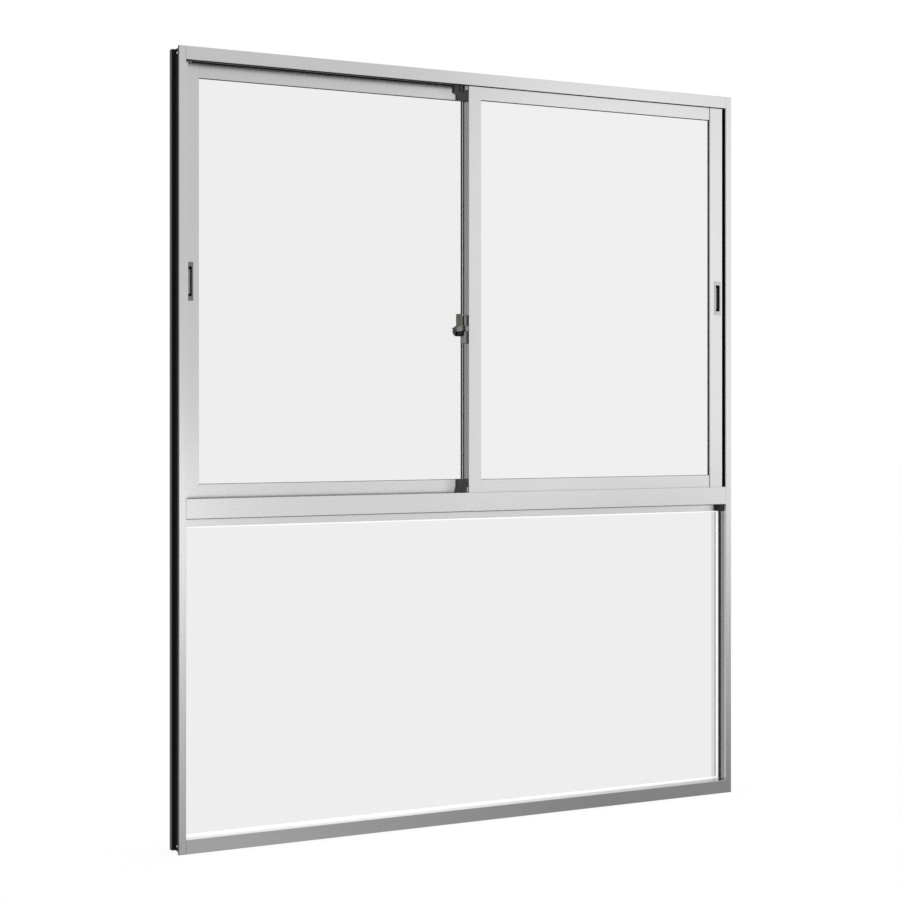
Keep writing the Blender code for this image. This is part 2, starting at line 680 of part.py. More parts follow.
def interlock_hook(hook):
    """Hook of a meeting stile, in its profile's own insets and depths."""
    inner_fin = MEETING_STILE_FACE - SASH_POCKET_DEPTH - INTERLOCK_SETBACK
    tip = SASH_SPACING - INTERLOCK_GAP
    lip = (SASH_SPACING - 3.0 * INTERLOCK_GAP) / 2.0
    if hook == "back":
        fin = inner_fin + INTERLOCK_WALL
        end = fin + INTERLOCK_LIP
        back = SASH_THICKNESS
        return [
            (fin, back),
            (fin, back + tip - lip),
            (end, back + tip - lip),
            (end, back + tip),
            (inner_fin, back + tip),
            (inner_fin, back),
        ]
    overlap = MEETING_STILE_FACE - INTERLOCK_STEP
    fin = overlap - inner_fin - INTERLOCK_WALL - INTERLOCK_LIP - INTERLOCK_GAP
    end = fin + INTERLOCK_LIP
    return [
        (fin - INTERLOCK_WALL, 0.0),
        (fin - INTERLOCK_WALL, -tip),
        (end, -tip),
        (end, lip - tip),
        (fin, lip - tip),
        (fin, 0.0),
    ]


def stile_profile(face, hook):
    """Outline and chamber of a stile: inset from its free edge, depth from its face."""
    wall = SASH_WALL
    floor = face - SASH_POCKET_DEPTH
    outline = [
        (0.0, 0.0, ARRIS_RADIUS),
        *(interlock_hook(hook) if hook == "front" else ()),
        (face, 0.0, ARRIS_RADIUS),
        (face, POCKET_FRONT),
        (floor, POCKET_FRONT),
        (floor, POCKET_BACK),
        (face, POCKET_BACK),
        (face, POCKET_BACK + SASH_LIP_WALL),
        (floor, POCKET_BACK + SASH_LIP_WALL),
        (floor, SASH_THICKNESS),
        *(interlock_hook(hook) if hook == "back" else ()),
        (0.0, SASH_THICKNESS, ARRIS_RADIUS),
    ]
    inside = floor - wall
    back = SASH_THICKNESS - wall
    chamber = [(wall, wall), (inside, wall), (inside, back), (wall, back)]
    if hook is None:
        low = (SASH_THICKNESS - STILE_GROOVE_WIDTH) / 2.0
        high = (SASH_THICKNESS + STILE_GROOVE_WIDTH) / 2.0
        bottom = STILE_GROOVE_DEPTH
        outline += [(0.0, high), (bottom, high), (bottom, low), (0.0, low)]
        chamber += [
            (wall, high + wall),
            (bottom + wall, high + wall),
            (bottom + wall, low - wall),
            (wall, low - wall),
        ]
    return [outline, chamber]


def make_stile(name, edge, inward, face, sash_face, hook=None):
    """Upright of a sash, from the X of its free edge inward; a stile with no hook is grooved."""
    loops = []
    for loop in stile_profile(face, hook):
        loops.append([(edge + inward * c[0], depth(sash_face + c[1]), *c[2:]) for c in loop])
    stile = extrusion(name, loops, "Z", SASH_BOTTOM, SASH_TOP, aluminium("sash"))
    xs = sorted((edge - inward * CUT_OVERRUN, edge + inward * (face + CUT_OVERRUN)))
    low_y = depth(sash_face + SASH_WALL + SAW_STUB)
    high_y = depth(sash_face + SASH_THICKNESS - SASH_WALL - SAW_STUB)
    upper = ((xs[0], low_y, UPPER_CHANNEL), (xs[1], high_y, SASH_TOP + CUT_OVERRUN))
    lower = ((xs[0], low_y, SASH_BOTTOM - CUT_OVERRUN), (xs[1], high_y, LOWER_CHANNEL))
    cut(stile, [upper, lower])
    return stile


def make_rail(name, low_x, high_x, sash_face, upper):
    """Rail of a sash, set back from the stiles and notched to enter their glazing pockets."""
    front = RAIL_SETBACK
    back = SASH_THICKNESS - RAIL_SETBACK
    inside = (front + SASH_WALL, back - SASH_WALL)
    way = -1.0 if upper else 1.0
    free = SASH_TOP if upper else SASH_BOTTOM
    face = TOP_RAIL_FACE if upper else BOTTOM_RAIL_FACE
    channel = UPPER_CHANNEL if upper else LOWER_CHANNEL
    tip = free + way * face
    floor = tip - way * SASH_POCKET_DEPTH
    outline = [
        (front, tip, ARRIS_RADIUS),
        (POCKET_FRONT, tip),
        (POCKET_FRONT, floor),
        (POCKET_BACK, floor),
        (POCKET_BACK, tip),
        (POCKET_BACK + SASH_LIP_WALL, tip),
        (POCKET_BACK + SASH_LIP_WALL, floor),
        (back, floor),
        (back, free),
        (inside[1], free),
        (inside[1], channel),
        (inside[0], channel),
        (inside[0], free),
        (front, free, ARRIS_RADIUS),
    ]
    loops = [outline]
    if upper:
        loops.append(rectangle(inside[0], floor + SASH_WALL, inside[1], channel - SASH_WALL))
    loops = [[(depth(sash_face + c[0]), *c[1:]) for c in loop] for loop in loops]
    reach = SASH_POCKET_DEPTH - SEAT_GAP
    rail = extrusion(name, loops, "X", low_x - reach, high_x + reach, aluminium("sash"))
    zs = sorted((free - way * CUT_OVERRUN, tip + way * CUT_OVERRUN))
    ends = (
        (low_x - reach - CUT_OVERRUN, low_x + SEAT_GAP),
        (high_x - SEAT_GAP, high_x + reach + CUT_OVERRUN),
    )
    lips = (
        (-CUT_OVERRUN, POCKET_FRONT + SEAT_GAP),
        (POCKET_BACK - SEAT_GAP, POCKET_BACK + SASH_LIP_WALL + SEAT_GAP),
    )
    boxes = []
    for xs in ends:
        for near, far in lips:
            low = (xs[0], depth(sash_face + near), zs[0])
            high = (xs[1], depth(sash_face + far), zs[1])
            boxes.append((low, high))
    cut(rail, boxes)


def make_roller(name, x, track):
    """Grooved wheel and axle turned as one piece, resting on the track's cap."""
    axle_half = SASH_THICKNESS / 2.0 - RAIL_SETBACK - SASH_WALL - SEAT_GAP
    half = ROLLER_WIDTH / 2.0
    groove = ROLLER_GROOVE_WIDTH / 2.0
    centre = Vector((x, depth(track), TRACK_TOP + SEAT_GAP + ROLLER_GROOVE_RADIUS))
    profile = [
        (0.0, -axle_half),
        (ROLLER_AXLE_RADIUS, -axle_half),
        (ROLLER_AXLE_RADIUS, -half),
        (ROLLER_FLANGE_RADIUS, -half),
        (ROLLER_FLANGE_RADIUS, -groove - ARRIS_RADIUS),
        (ROLLER_GROOVE_RADIUS, -groove),
        (ROLLER_GROOVE_RADIUS, groove),
        (ROLLER_FLANGE_RADIUS, groove + ARRIS_RADIUS),
        (ROLLER_FLANGE_RADIUS, half),
        (ROLLER_AXLE_RADIUS, half),
        (ROLLER_AXLE_RADIUS, axle_half),
        (0.0, axle_half),
    ]
    mesh_data = bmesh.new()
    verts = [mesh_data.verts.new(centre + Vector((0.0, along, out))) for out, along in profile]
    edges = [mesh_data.edges.new(pair) for pair in zip(verts, verts[1:])]
    bmesh.ops.spin(
        mesh_data,
        geom=verts + edges,
        cent=centre,
        axis=(0.0, 1.0, 0.0),
        angle=math.tau,
        steps=ROUND_STEPS,
        use_merge=True,
    )
    bmesh.ops.remove_doubles(mesh_data, verts=mesh_data.verts[:], dist=1e-6)
    finish(name, mesh_data, material("roller_nylon", (0.75, 0.74, 0.70), 0.45, 0.0), 35.0)


def make_pull(name, centre_x, sash_face):
    """Finger pull: a thin plate with a sunk cup, drawn from one sheet and slotted at both ends."""
    front = sash_face - PULL_PLATE
    back = sash_face - SEAT_GAP
    plate = (PULL_WIDTH / 2.0, PULL_HEIGHT / 2.0)
    inside = (RECESS_WIDTH / 2.0, RECESS_HEIGHT / 2.0)
    outside = (inside[0] + RECESS_WALL, inside[1] + RECESS_WALL)
    steps = [
        (*outside, back),
        (*plate, back),
        (*plate, front),
        (*inside, front),
        (*inside, front + RECESS_DEPTH),
    ]
    steps.append((*outside, front + RECESS_DEPTH + RECESS_WALL))
    mesh_data = bmesh.new()
    rings = []
    for half_width, half_height, back_depth in steps:
        corners = rectangle(-half_width, -half_height, half_width, half_height, PULL_CORNER_RADIUS)
        y = depth(back_depth)
        points = [(centre_x + a, y, PULL_CENTRE + b) for a, b in rounded(corners)]
        rings.append([mesh_data.verts.new(point) for point in points])
    for ring, other in [*zip(rings[:4], rings[1:5]), (rings[5], rings[0])]:
        for index in range(len(ring)):
            after = (index + 1) % len(ring)
            mesh_data.faces.new((ring[index], ring[after], other[after], other[index]))
    mesh_data.faces.new(rings[4])
    mesh_data.faces.new(rings[5])
    pull = finish(name, mesh_data, stainless("pull"))
    half_slot = RECESS_WIDTH / 2.0 - SEAT_GAP
    end = RECESS_HEIGHT / 2.0 - SEAT_GAP
    for low, high in ((-end, RECESS_SLOT_HEIGHT - end), (end - RECESS_SLOT_HEIGHT, end)):
        slot = rectangle(
            centre_x - half_slot, PULL_CENTRE + low, centre_x + half_slot, PULL_CENTRE + high
        )
        floor = depth(front + RECESS_DEPTH)
        cut_profile(pull, slot, "Y", floor - RECESS_WALL, floor + 2.0 * RECESS_WALL)


def pull_cut(centre_x, sash_face):
    """The hole that the pull's cup drops into."""
    half_w = RECESS_WIDTH / 2.0 + RECESS_WALL + SEAT_GAP
    half_h = RECESS_HEIGHT / 2.0 + RECESS_WALL + SEAT_GAP
    low = (centre_x - half_w, depth(sash_face) - CUT_OVERRUN, PULL_CENTRE - half_h)
    high = (centre_x + half_w, depth(sash_face + SASH_WALL + SAW_STUB), PULL_CENTRE + half_h)
    return low, high


def make_sash(name, sash_face, track, lock_edge, meeting_edge, hook):
    """One sliding sash: two stiles, two rails, glass, gasket, rollers and a pull."""
    inward = 1.0 if meeting_edge > lock_edge else -1.0
    lock = make_stile(f"{name}_lock_stile", lock_edge, inward, LOCK_STILE_FACE, sash_face)
    make_stile(
        f"{name}_meeting_stile", meeting_edge, -inward, MEETING_STILE_FACE, sash_face, hook
    )
    pull_x = lock_edge + inward * (PULL_OFFSET + PULL_WIDTH / 2.0)
    cut(lock, [pull_cut(pull_x, sash_face)])
    inner_edges = sorted(
        (lock_edge + inward * LOCK_STILE_FACE, meeting_edge - inward * MEETING_STILE_FACE)
    )
    make_rail(f"{name}_top_rail", *inner_edges, sash_face, True)
    make_rail(f"{name}_bottom_rail", *inner_edges, sash_face, False)
    low = (
        inner_edges[0] - SASH_GLASS_COVER,
        SASH_BOTTOM + BOTTOM_RAIL_FACE - SASH_GLASS_COVER,
    )
    high = (inner_edges[1] + SASH_GLASS_COVER, SASH_TOP - TOP_RAIL_FACE + SASH_GLASS_COVER)
    side_room = (POCKET_BACK - POCKET_FRONT - SASH_GLASS_THICKNESS) / 2.0
    glass_front = sash_face + POCKET_FRONT + side_room
    pane(f"{name}_glass", low, high, glass_front, SASH_GLASS_THICKNESS)
    fronts = (
        sash_face + POCKET_FRONT + SEAT_GAP,
        glass_front,
        glass_front + SASH_GLASS_THICKNESS,
        sash_face + POCKET_BACK - SEAT_GAP,
    )
    gasket = rubber("gasket")
    glazing_gasket(f"{name}_gasket", low, high, SASH_GLASS_COVER, GASKET_SHOW, fronts, gasket)
    make_pull(f"{name}_pull", pull_x, sash_face)
    make_roller(f"{name}_roller_left", inner_edges[0] + ROLLER_INSET, track)
    make_roller(f"{name}_roller_right", inner_edges[1] - ROLLER_INSET, track)


def union(pieces, name):
    """Join overlapping solids of one casting into the first of them, all in one operation."""
    body = pieces[0]
    parts = bpy.data.collections.new(f"{name}_parts")
    bpy.context.scene.collection.children.link(parts)
    for other in pieces[1:]:
        bpy.context.scene.collection.objects.unlink(other)
        parts.objects.link(other)
        other.hide_render = True
        other.display_type = "WIRE"
    joint = body.modifiers.new("join", "BOOLEAN")
    joint.operation = "UNION"
    joint.solver = "EXACT"
    joint.operand_type = "COLLECTION"
    joint.collection = parts
    body.name = name


def make_crescent_base():
    """Dark base plate of the lock, the catch tab in front of it and the stepped housing on it."""
    front = INNER_SASH_FACE + (SASH_THICKNESS - CRESCENT_BASE_WIDTH) / 2.0
    low = CRESCENT_PIVOT - CRESCENT_BASE_BELOW
    high = CRESCENT_PIVOT + CRESCENT_BASE_ABOVE
    plate = rectangle(
        depth(front), low, depth(front + CRESCENT_BASE_WIDTH), high, CRESCENT_CORNER_RADIUS
    )
    plate_x = LOCK_EDGE - CRESCENT_BASE_PLATE
    extrusion("crescent_base", [plate], "X", plate_x, LOCK_EDGE, plastic("crescent_base"))
    tab_back = depth(front) - SEAT_GAP
    tab = rectangle(
        LOCK_EDGE - CATCH_WIDTH,
        CRESCENT_PIVOT - CATCH_HEIGHT / 2.0,
        LOCK_EDGE,
        CRESCENT_PIVOT + CATCH_HEIGHT / 2.0,
        CATCH_RADIUS,
    )
    surface = stainless("crescent_catch")
    extrusion("crescent_catch", [tab], "Y", tab_back - CATCH_THICKNESS, tab_back, surface)
    seat = plate_x - SEAT_GAP
    web = seat - HOUSING_WEB
    out = LOCK_EDGE - HOUSING_REACH
    radius = CRESCENT_CORNER_RADIUS
    housing = [
        (seat, low + HOUSING_MARGIN),
        (out, low + HOUSING_MARGIN, radius),
        (out, CRESCENT_PIVOT - HUB_ROOM_BELOW, radius),
        (web, CRESCENT_PIVOT - HUB_ROOM_BELOW),
        (web, CRESCENT_PIVOT + HUB_ROOM_ABOVE),
        (out, CRESCENT_PIVOT + HUB_ROOM_ABOVE, radius),
        (out, high - HOUSING_MARGIN, radius),
        (seat, high - HOUSING_MARGIN),
    ]
    start, end = depth(HOUSING_FRONT), depth(HOUSING_FRONT + HOUSING_DEPTH)
    extrusion("crescent_housing", [housing], "Y", start, end, stainless("crescent_housing"))


def arc(centre, radius, start, end, steps):
    """Points of an arc between two angles in degrees."""
    points = []
    for step in range(steps + 1):
        angle = math.radians(start + (end - start) * step / steps)
        points.append(Vector(centre) + Vector((math.cos(angle), math.sin(angle))) * radius)
    return points


def polar(centre, radius, degrees):
    """The point at an angle and a distance from a centre."""
    return arc(centre, radius, degrees, degrees, 1)[0]


def make_crescent_lever():
    """Turning piece of the lock: hub, notched cam plate, hooked rim and thumb lever in one casting."""
    surface = stainless("crescent_lever")
    centre = (depth(CRESCENT_PIVOT_DEPTH), CRESCENT_PIVOT)
    cam_middle = (CAM_OUTER + CAM_INNER) / 2.0
    hub_end = LOCK_EDGE - CRESCENT_BASE_PLATE - HOUSING_WEB - 2.0 * SEAT_GAP
    lower = (CAM_LOW_DEGREES, CAM_NOTCH_DEGREES - CAM_NOTCH_SPREAD)
    upper = (CAM_NOTCH_DEGREES + CAM_NOTCH_SPREAD, CAM_HIGH_DEGREES)
    disc_radius = CAM_RIM_RADIUS - CAM_RIM_WALL / 2.0
    sector = arc(centre, disc_radius, lower[0] + CAM_EDGE_DEGREES, lower[1], ROUND_STEPS // 2)
    sector.append(polar(centre, disc_radius - CAM_NOTCH_DEPTH, CAM_NOTCH_DEGREES))
    sector += arc(centre, disc_radius, upper[0], upper[1] - CAM_EDGE_DEGREES, 2)
    sector += arc(centre, HUB_RADIUS / 2.0, 90.0, 270.0, ROUND_STEPS // 4)
    hub = arc(centre, HUB_RADIUS, 0.0, 360.0, ROUND_STEPS)[:-1]
    front = depth(LEVER_FRONT)
    lever = rectangle(
        front,
        CRESCENT_PIVOT - LEVER_BELOW,
        front + LEVER_DEPTH,
        CRESCENT_PIVOT + LEVER_ABOVE,
        LEVER_RADIUS,
    )
    lever_start = CAM_OUTER + CAM_PLATE / 3.0
    lever_end = cam_middle + LEVER_WIDTH
    pieces = [
        extrusion("cam_plate", [sector], "X", CAM_OUTER, CAM_INNER, surface),
        extrusion("cam_hub", [hub], "X", CAM_OUTER - RIVET_HEIGHT, hub_end, surface),
        extrusion("thumb_lever", [lever], "X", lever_start, lever_end, surface),
    ]
    rim_end = CAM_INNER + CAM_RIM_REACH
    for part, (low, high), steps in (("lower", lower, ROUND_STEPS // 2), ("upper", upper, 2)):
        rim = arc(centre, CAM_RIM_RADIUS, low, high - CAM_EDGE_DEGREES / 4.0, steps)
        rim += arc(centre, CAM_RIM_RADIUS - CAM_RIM_WALL, high - CAM_EDGE_DEGREES / 4.0, low, steps)
        pieces.append(extrusion(f"cam_rim_{part}", [rim], "X", cam_middle, rim_end, surface))
    union(pieces, "crescent_lever")


def make_keeper():
    """Keeper on the outer meeting stile, with a tongue that the cam's rim hooks behind."""
    back = OUTER_SASH_FACE - SEAT_GAP
    tongue_start = CAM_INNER + KEEPER_PLATE
    strap_start = LEFT + OUTER_MEETING_EDGE - MEETING_STILE_FACE
    strap_end = strap_start + KEEPER_STRAP
    low, high = CRESCENT_PIVOT - KEEPER_HEIGHT / 2.0, CRESCENT_PIVOT + KEEPER_HEIGHT / 2.0
    tongue_low = CRESCENT_PIVOT - KEEPER_TONGUE_HEIGHT / 2.0
    tongue_high = CRESCENT_PIVOT + KEEPER_TONGUE_HEIGHT / 2.0
    outline = [
        (tongue_start, tongue_low, KEEPER_PLATE),
        (strap_start, tongue_low),
        (strap_start, low),
        (strap_end, low),
        (strap_end, high),
        (strap_start, high),
        (strap_start, tongue_high),
        (tongue_start, tongue_high, KEEPER_PLATE),
    ]
    surface = stainless("keeper")
    extrusion("crescent_keeper", [outline], "Y", depth(back - KEEPER_PLATE), depth(back), surface)


def make_upper_block():
    """Plastic block that straddles the head's inner fin; a U-shaped groove frees its tongue."""
    start = LOCK_EDGE - DRAFT_BLOCK_WIDTH
    wing = start - DRAFT_BLOCK_WING
    low = HEAD_BOTTOM - UPPER_BLOCK_SIGHT
    slot_floor = HEAD_FIN_BOTTOM - FIN_SLOT_CLEARANCE
    outline = [
        (DRAFT_BLOCK_FRONT, low, DRAFT_BLOCK_RADIUS),
        (DRAFT_BLOCK_BACK, low, DRAFT_BLOCK_RADIUS),
        (DRAFT_BLOCK_BACK, SASH_TOP),
        (INNER_TRACK + FIN_SLOT_WIDTH / 2.0, SASH_TOP),
        (INNER_TRACK + FIN_SLOT_WIDTH / 2.0, slot_floor),
        (INNER_TRACK - FIN_SLOT_WIDTH / 2.0, slot_floor),
        (INNER_TRACK - FIN_SLOT_WIDTH / 2.0, SASH_TOP),
        (DRAFT_BLOCK_FRONT, SASH_TOP),
    ]
    surface = plastic("draft_block")
    block = extrusion("upper_draft_block", [lengthwise(outline)], "X", wing, LOCK_EDGE, surface)
    wing_low = HEAD_BOTTOM - DRAFT_WING_DROP
    shoulder = [
        (wing - CUT_OVERRUN, low - CUT_OVERRUN),
        (start, low - CUT_OVERRUN),
        (start, wing_low - DRAFT_WING_SLOPE),
        (wing, wing_low),
        (wing - CUT_OVERRUN, wing_low),
    ]
    whole = (depth(DRAFT_BLOCK_FRONT) - CUT_OVERRUN, depth(DRAFT_BLOCK_BACK) + CUT_OVERRUN)
    cut_profile(block, shoulder, "Y", *whole)
    left = start + TONGUE_INSET - BLOCK_GROOVE_WIDTH
    right = start + TONGUE_INSET + TONGUE_WIDTH + BLOCK_GROOVE_WIDTH
    tongue_low = HEAD_BOTTOM - TONGUE_HEIGHT
    groove_low = tongue_low - BLOCK_GROOVE_WIDTH
    top = SASH_TOP + CUT_OVERRUN
    groove = [
        (left, groove_low),
        (right, groove_low),
        (right, top),
        (right - BLOCK_GROOVE_WIDTH, top),
        (right - BLOCK_GROOVE_WIDTH, tongue_low),
        (left + BLOCK_GROOVE_WIDTH, tongue_low),
        (left + BLOCK_GROOVE_WIDTH, top),
        (left, top),
    ]
    front = depth(DRAFT_BLOCK_FRONT)
    cut_profile(block, groove, "Y", front - CUT_OVERRUN, front + BLOCK_GROOVE_DEPTH)


def make_lower_block():
    """Plastic block that rides on the inner track, flared at its foot, with a curved groove."""
    start = LOCK_EDGE - DRAFT_BLOCK_WIDTH
    foot = TRACK_TOP + SEAT_GAP
    outline = [
        (start - DRAFT_BLOCK_FLARE, foot),
        (LOCK_EDGE, foot),
        (LOCK_EDGE, foot + LOWER_BLOCK_HEIGHT),
        (start, foot + LOWER_BLOCK_HEIGHT, DRAFT_BLOCK_RADIUS),
        (start, foot + LOWER_BLOCK_HEIGHT / 2.0),
    ]
    front, back = depth(DRAFT_BLOCK_FRONT), depth(DRAFT_BLOCK_BACK)
    surface = plastic("draft_block")
    block = extrusion("lower_draft_block", [outline], "Y", front, back, surface)
    centre = (LOCK_EDGE + CURVE_OFFSET, foot + CURVE_RISE)
    inner = CURVE_RADIUS - BLOCK_GROOVE_WIDTH / 2.0
    outer = CURVE_RADIUS + BLOCK_GROOVE_WIDTH / 2.0
    groove = arc(centre, outer, 180.0 - CURVE_DEGREES, 180.0, ARC_STEPS * 2)
    groove += [
        Vector((centre[0] - outer, foot - CUT_OVERRUN)),
        Vector((centre[0] - inner, foot - CUT_OVERRUN)),
    ]
    groove += arc(centre, inner, 180.0, 180.0 - CURVE_DEGREES, ARC_STEPS * 2)
    cut_profile(block, groove, "Y", front - CUT_OVERRUN, front + BLOCK_GROOVE_DEPTH)


def main():
    clear_scene()
    make_jamb("left")
    make_jamb("right")
    make_head()
    make_transom()
    make_sill()
    make_fixed_light()
    make_track("inner_track", INNER_TRACK)
    make_track("outer_track", OUTER_TRACK)
    inner_edges = (RIGHT - INNER_SASH_SIDE_GAP, LEFT + INNER_MEETING_EDGE)
    outer_edges = (LEFT + OUTER_SASH_SIDE_GAP, LEFT + OUTER_MEETING_EDGE)
    make_sash("inner", INNER_SASH_FACE, INNER_TRACK, *inner_edges, "back")
    make_sash("outer", OUTER_SASH_FACE, OUTER_TRACK, *outer_edges, "front")
    make_crescent_base()
    make_crescent_lever()
    make_keeper()
    make_upper_block()
    make_lower_block()


main()
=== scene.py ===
"""Finishes, fixings, seals and studio for the combination window.

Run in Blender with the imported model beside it. The window stands on its sill,
the room side faces -Y, and the sliding pair sits above the fixed light.
"""

import math

import bpy
from bpy.props import FloatProperty, FloatVectorProperty, PointerProperty
from bpy.types import Operator, Panel, PropertyGroup
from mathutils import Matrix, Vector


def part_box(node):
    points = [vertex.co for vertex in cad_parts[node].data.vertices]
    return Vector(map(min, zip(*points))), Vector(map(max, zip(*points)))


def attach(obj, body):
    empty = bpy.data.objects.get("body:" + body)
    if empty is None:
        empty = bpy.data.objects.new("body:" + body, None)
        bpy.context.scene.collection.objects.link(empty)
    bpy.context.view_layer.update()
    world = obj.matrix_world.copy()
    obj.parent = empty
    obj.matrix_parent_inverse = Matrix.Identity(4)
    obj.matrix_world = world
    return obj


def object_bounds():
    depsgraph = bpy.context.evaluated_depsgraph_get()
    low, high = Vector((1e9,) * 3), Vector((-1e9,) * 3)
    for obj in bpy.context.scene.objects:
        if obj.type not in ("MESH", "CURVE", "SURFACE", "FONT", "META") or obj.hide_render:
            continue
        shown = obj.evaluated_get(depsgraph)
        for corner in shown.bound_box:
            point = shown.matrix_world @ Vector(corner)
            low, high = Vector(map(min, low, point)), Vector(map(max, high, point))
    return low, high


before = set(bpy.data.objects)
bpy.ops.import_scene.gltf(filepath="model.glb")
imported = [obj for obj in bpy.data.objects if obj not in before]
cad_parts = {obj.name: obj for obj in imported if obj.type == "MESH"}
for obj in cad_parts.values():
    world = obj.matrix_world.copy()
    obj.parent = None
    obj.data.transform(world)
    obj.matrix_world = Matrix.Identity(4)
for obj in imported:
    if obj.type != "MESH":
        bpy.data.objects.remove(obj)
CAD_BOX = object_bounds()

bl_info = {
    "name": "Combination Window Finish",
    "version": (1, 0, 0),
    "blender": (4, 5, 0),
    "location": "3D View > Sidebar > Window",
    "description": "Dresses a sliding and fixed combination window and sets its studio",
    "category": "Object",
}

# Groups of the frame's nodes, by finish and by the way their extrusion runs
JAMBS = ("left_jamb", "right_jamb")
CROSSES = ("transom", "sill")
SIDE_BEADS = ("left_bead", "right_bead")
LEVEL_BEADS = ("top_bead", "bottom_bead")
FILLERS = ("left_glazing_filler", "right_glazing_filler")
LOCK_STILES = ("inner_lock_stile", "outer_lock_stile")
MEETING_STILES = ("inner_meeting_stile", "outer_meeting_stile")
LEVEL_SASH = ("inner_top_rail", "inner_bottom_rail", "outer_top_rail", "outer_bottom_rail")
GASKETS = ("inner_gasket", "outer_gasket")
TRACK_CAPS = ("inner_track", "outer_track")
PULLS = ("inner_pull", "outer_pull")
ROLLERS = (
    "inner_roller_left", "inner_roller_right", "outer_roller_left", "outer_roller_right",
)
LOCK_PIECES = (
    "crescent_base", "crescent_housing", "crescent_catch", "crescent_lever", "crescent_keeper",
)
BLOCKS = ("upper_draft_block", "lower_draft_block")

MILLIMETRE = 0.001

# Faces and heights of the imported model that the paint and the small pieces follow
LEFT_FACE, ROOM_FACE, FOOT = CAD_BOX[0]
RIGHT_FACE, FAR_FACE, TOP = CAD_BOX[1]
HEAD_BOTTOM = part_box("head")[0][2]
LIP_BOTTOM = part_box("transom")[0][2]
TRANSOM_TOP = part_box("transom")[1][2]
SILL_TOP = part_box("sill")[1][2]
CATCH_FOOT, CATCH_TOP = (corner[2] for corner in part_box("crescent_catch"))
PIVOT_HEIGHT = (CATCH_FOOT + CATCH_TOP) / 2.0

# Sizes inside the profiles, which no box of a node gives
TRANSOM_BOTTOM = LIP_BOTTOM + 19.5 * MILLIMETRE
JAMB_FACE = 17.0 * MILLIMETRE
OPENING = RIGHT_FACE - JAMB_FACE
ANCHOR_WEB = 8.5 * MILLIMETRE
REAR_LEG = FAR_FACE - 16.0 * MILLIMETRE

# Play between a seal and the profile that holds it, and the front of the head's middle strip
CLEARANCE = 0.3 * MILLIMETRE
MIDDLE_STRIP = ROOM_FACE + 32.5 * MILLIMETRE

# Die lines to the metre, across an extrusion and along it
LINES_ACROSS = 450.0
LINES_ALONG = 1.5
UPRIGHT_RUN = (LINES_ACROSS, LINES_ACROSS, LINES_ALONG)
LEVEL_RUN = (LINES_ALONG, LINES_ACROSS, LINES_ACROSS)

# How far the oxide clouds a bright face, and how much dust lies on one that looks up
CLOUDING = 0.05
DUST = 0.15

# Moulded and cast skins: roughness, share of metal and pitch of the stipple
CAST_SKIN = {"roughness": 0.45, "metallic": 0.4, "pitch": 2200.0}
BLOCK_SKIN = {"roughness": 0.5, "pitch": 1800.0}

# Refraction of the panes, kept weak so that the lamps don't show in them
PANE_INDEX = 1.12

# Depth at which the lamps stand, in front of the window
LAMP_ROW = -3.5

# The floor as the eye sees it: strength of its own white, and that white's share of the mix
FLOOR_WHITE = 1.17
FLOOR_SHARE = 0.76

# Plain light, and the kinds of socket in the node groups
WHITE = (1.0, 1.0, 1.0, 1.0)
COLOUR = "NodeSocketColor"
NUMBER = "NodeSocketFloat"
VECTOR = "NodeSocketVector"


def tone(red, green, blue):
    """Linear colour of an ordinary 0 to 255 screen colour."""
    levels = []
    for value in (red, green, blue):
        share = value / 255.0
        if share <= 0.04045:
            levels.append(share / 12.92)
        else:
            levels.append(((share + 0.055) / 1.055) ** 2.4)
    return tuple(levels)


def opaque(colour):
    """The same colour with a full alpha, as a shader socket takes it."""
    return (colour[0], colour[1], colour[2], 1.0)


def colour_prop(name, description, default):
    """A colour setting shown as a swatch."""
    return FloatVectorProperty(
        name=name, description=description, subtype="COLOR", size=3,
        min=0.0, max=1.0, default=default,
    )


def length_prop(name, description, default):
    """A length setting in metres."""
    return FloatProperty(
        name=name, description=description, default=default, min=0.0, unit="LENGTH", precision=4,
    )


def share_prop(name, description, default, top=1.0):
    """A plain number that runs from nothing to its top."""
    return FloatProperty(name=name, description=description, default=default, min=0.0, max=top)


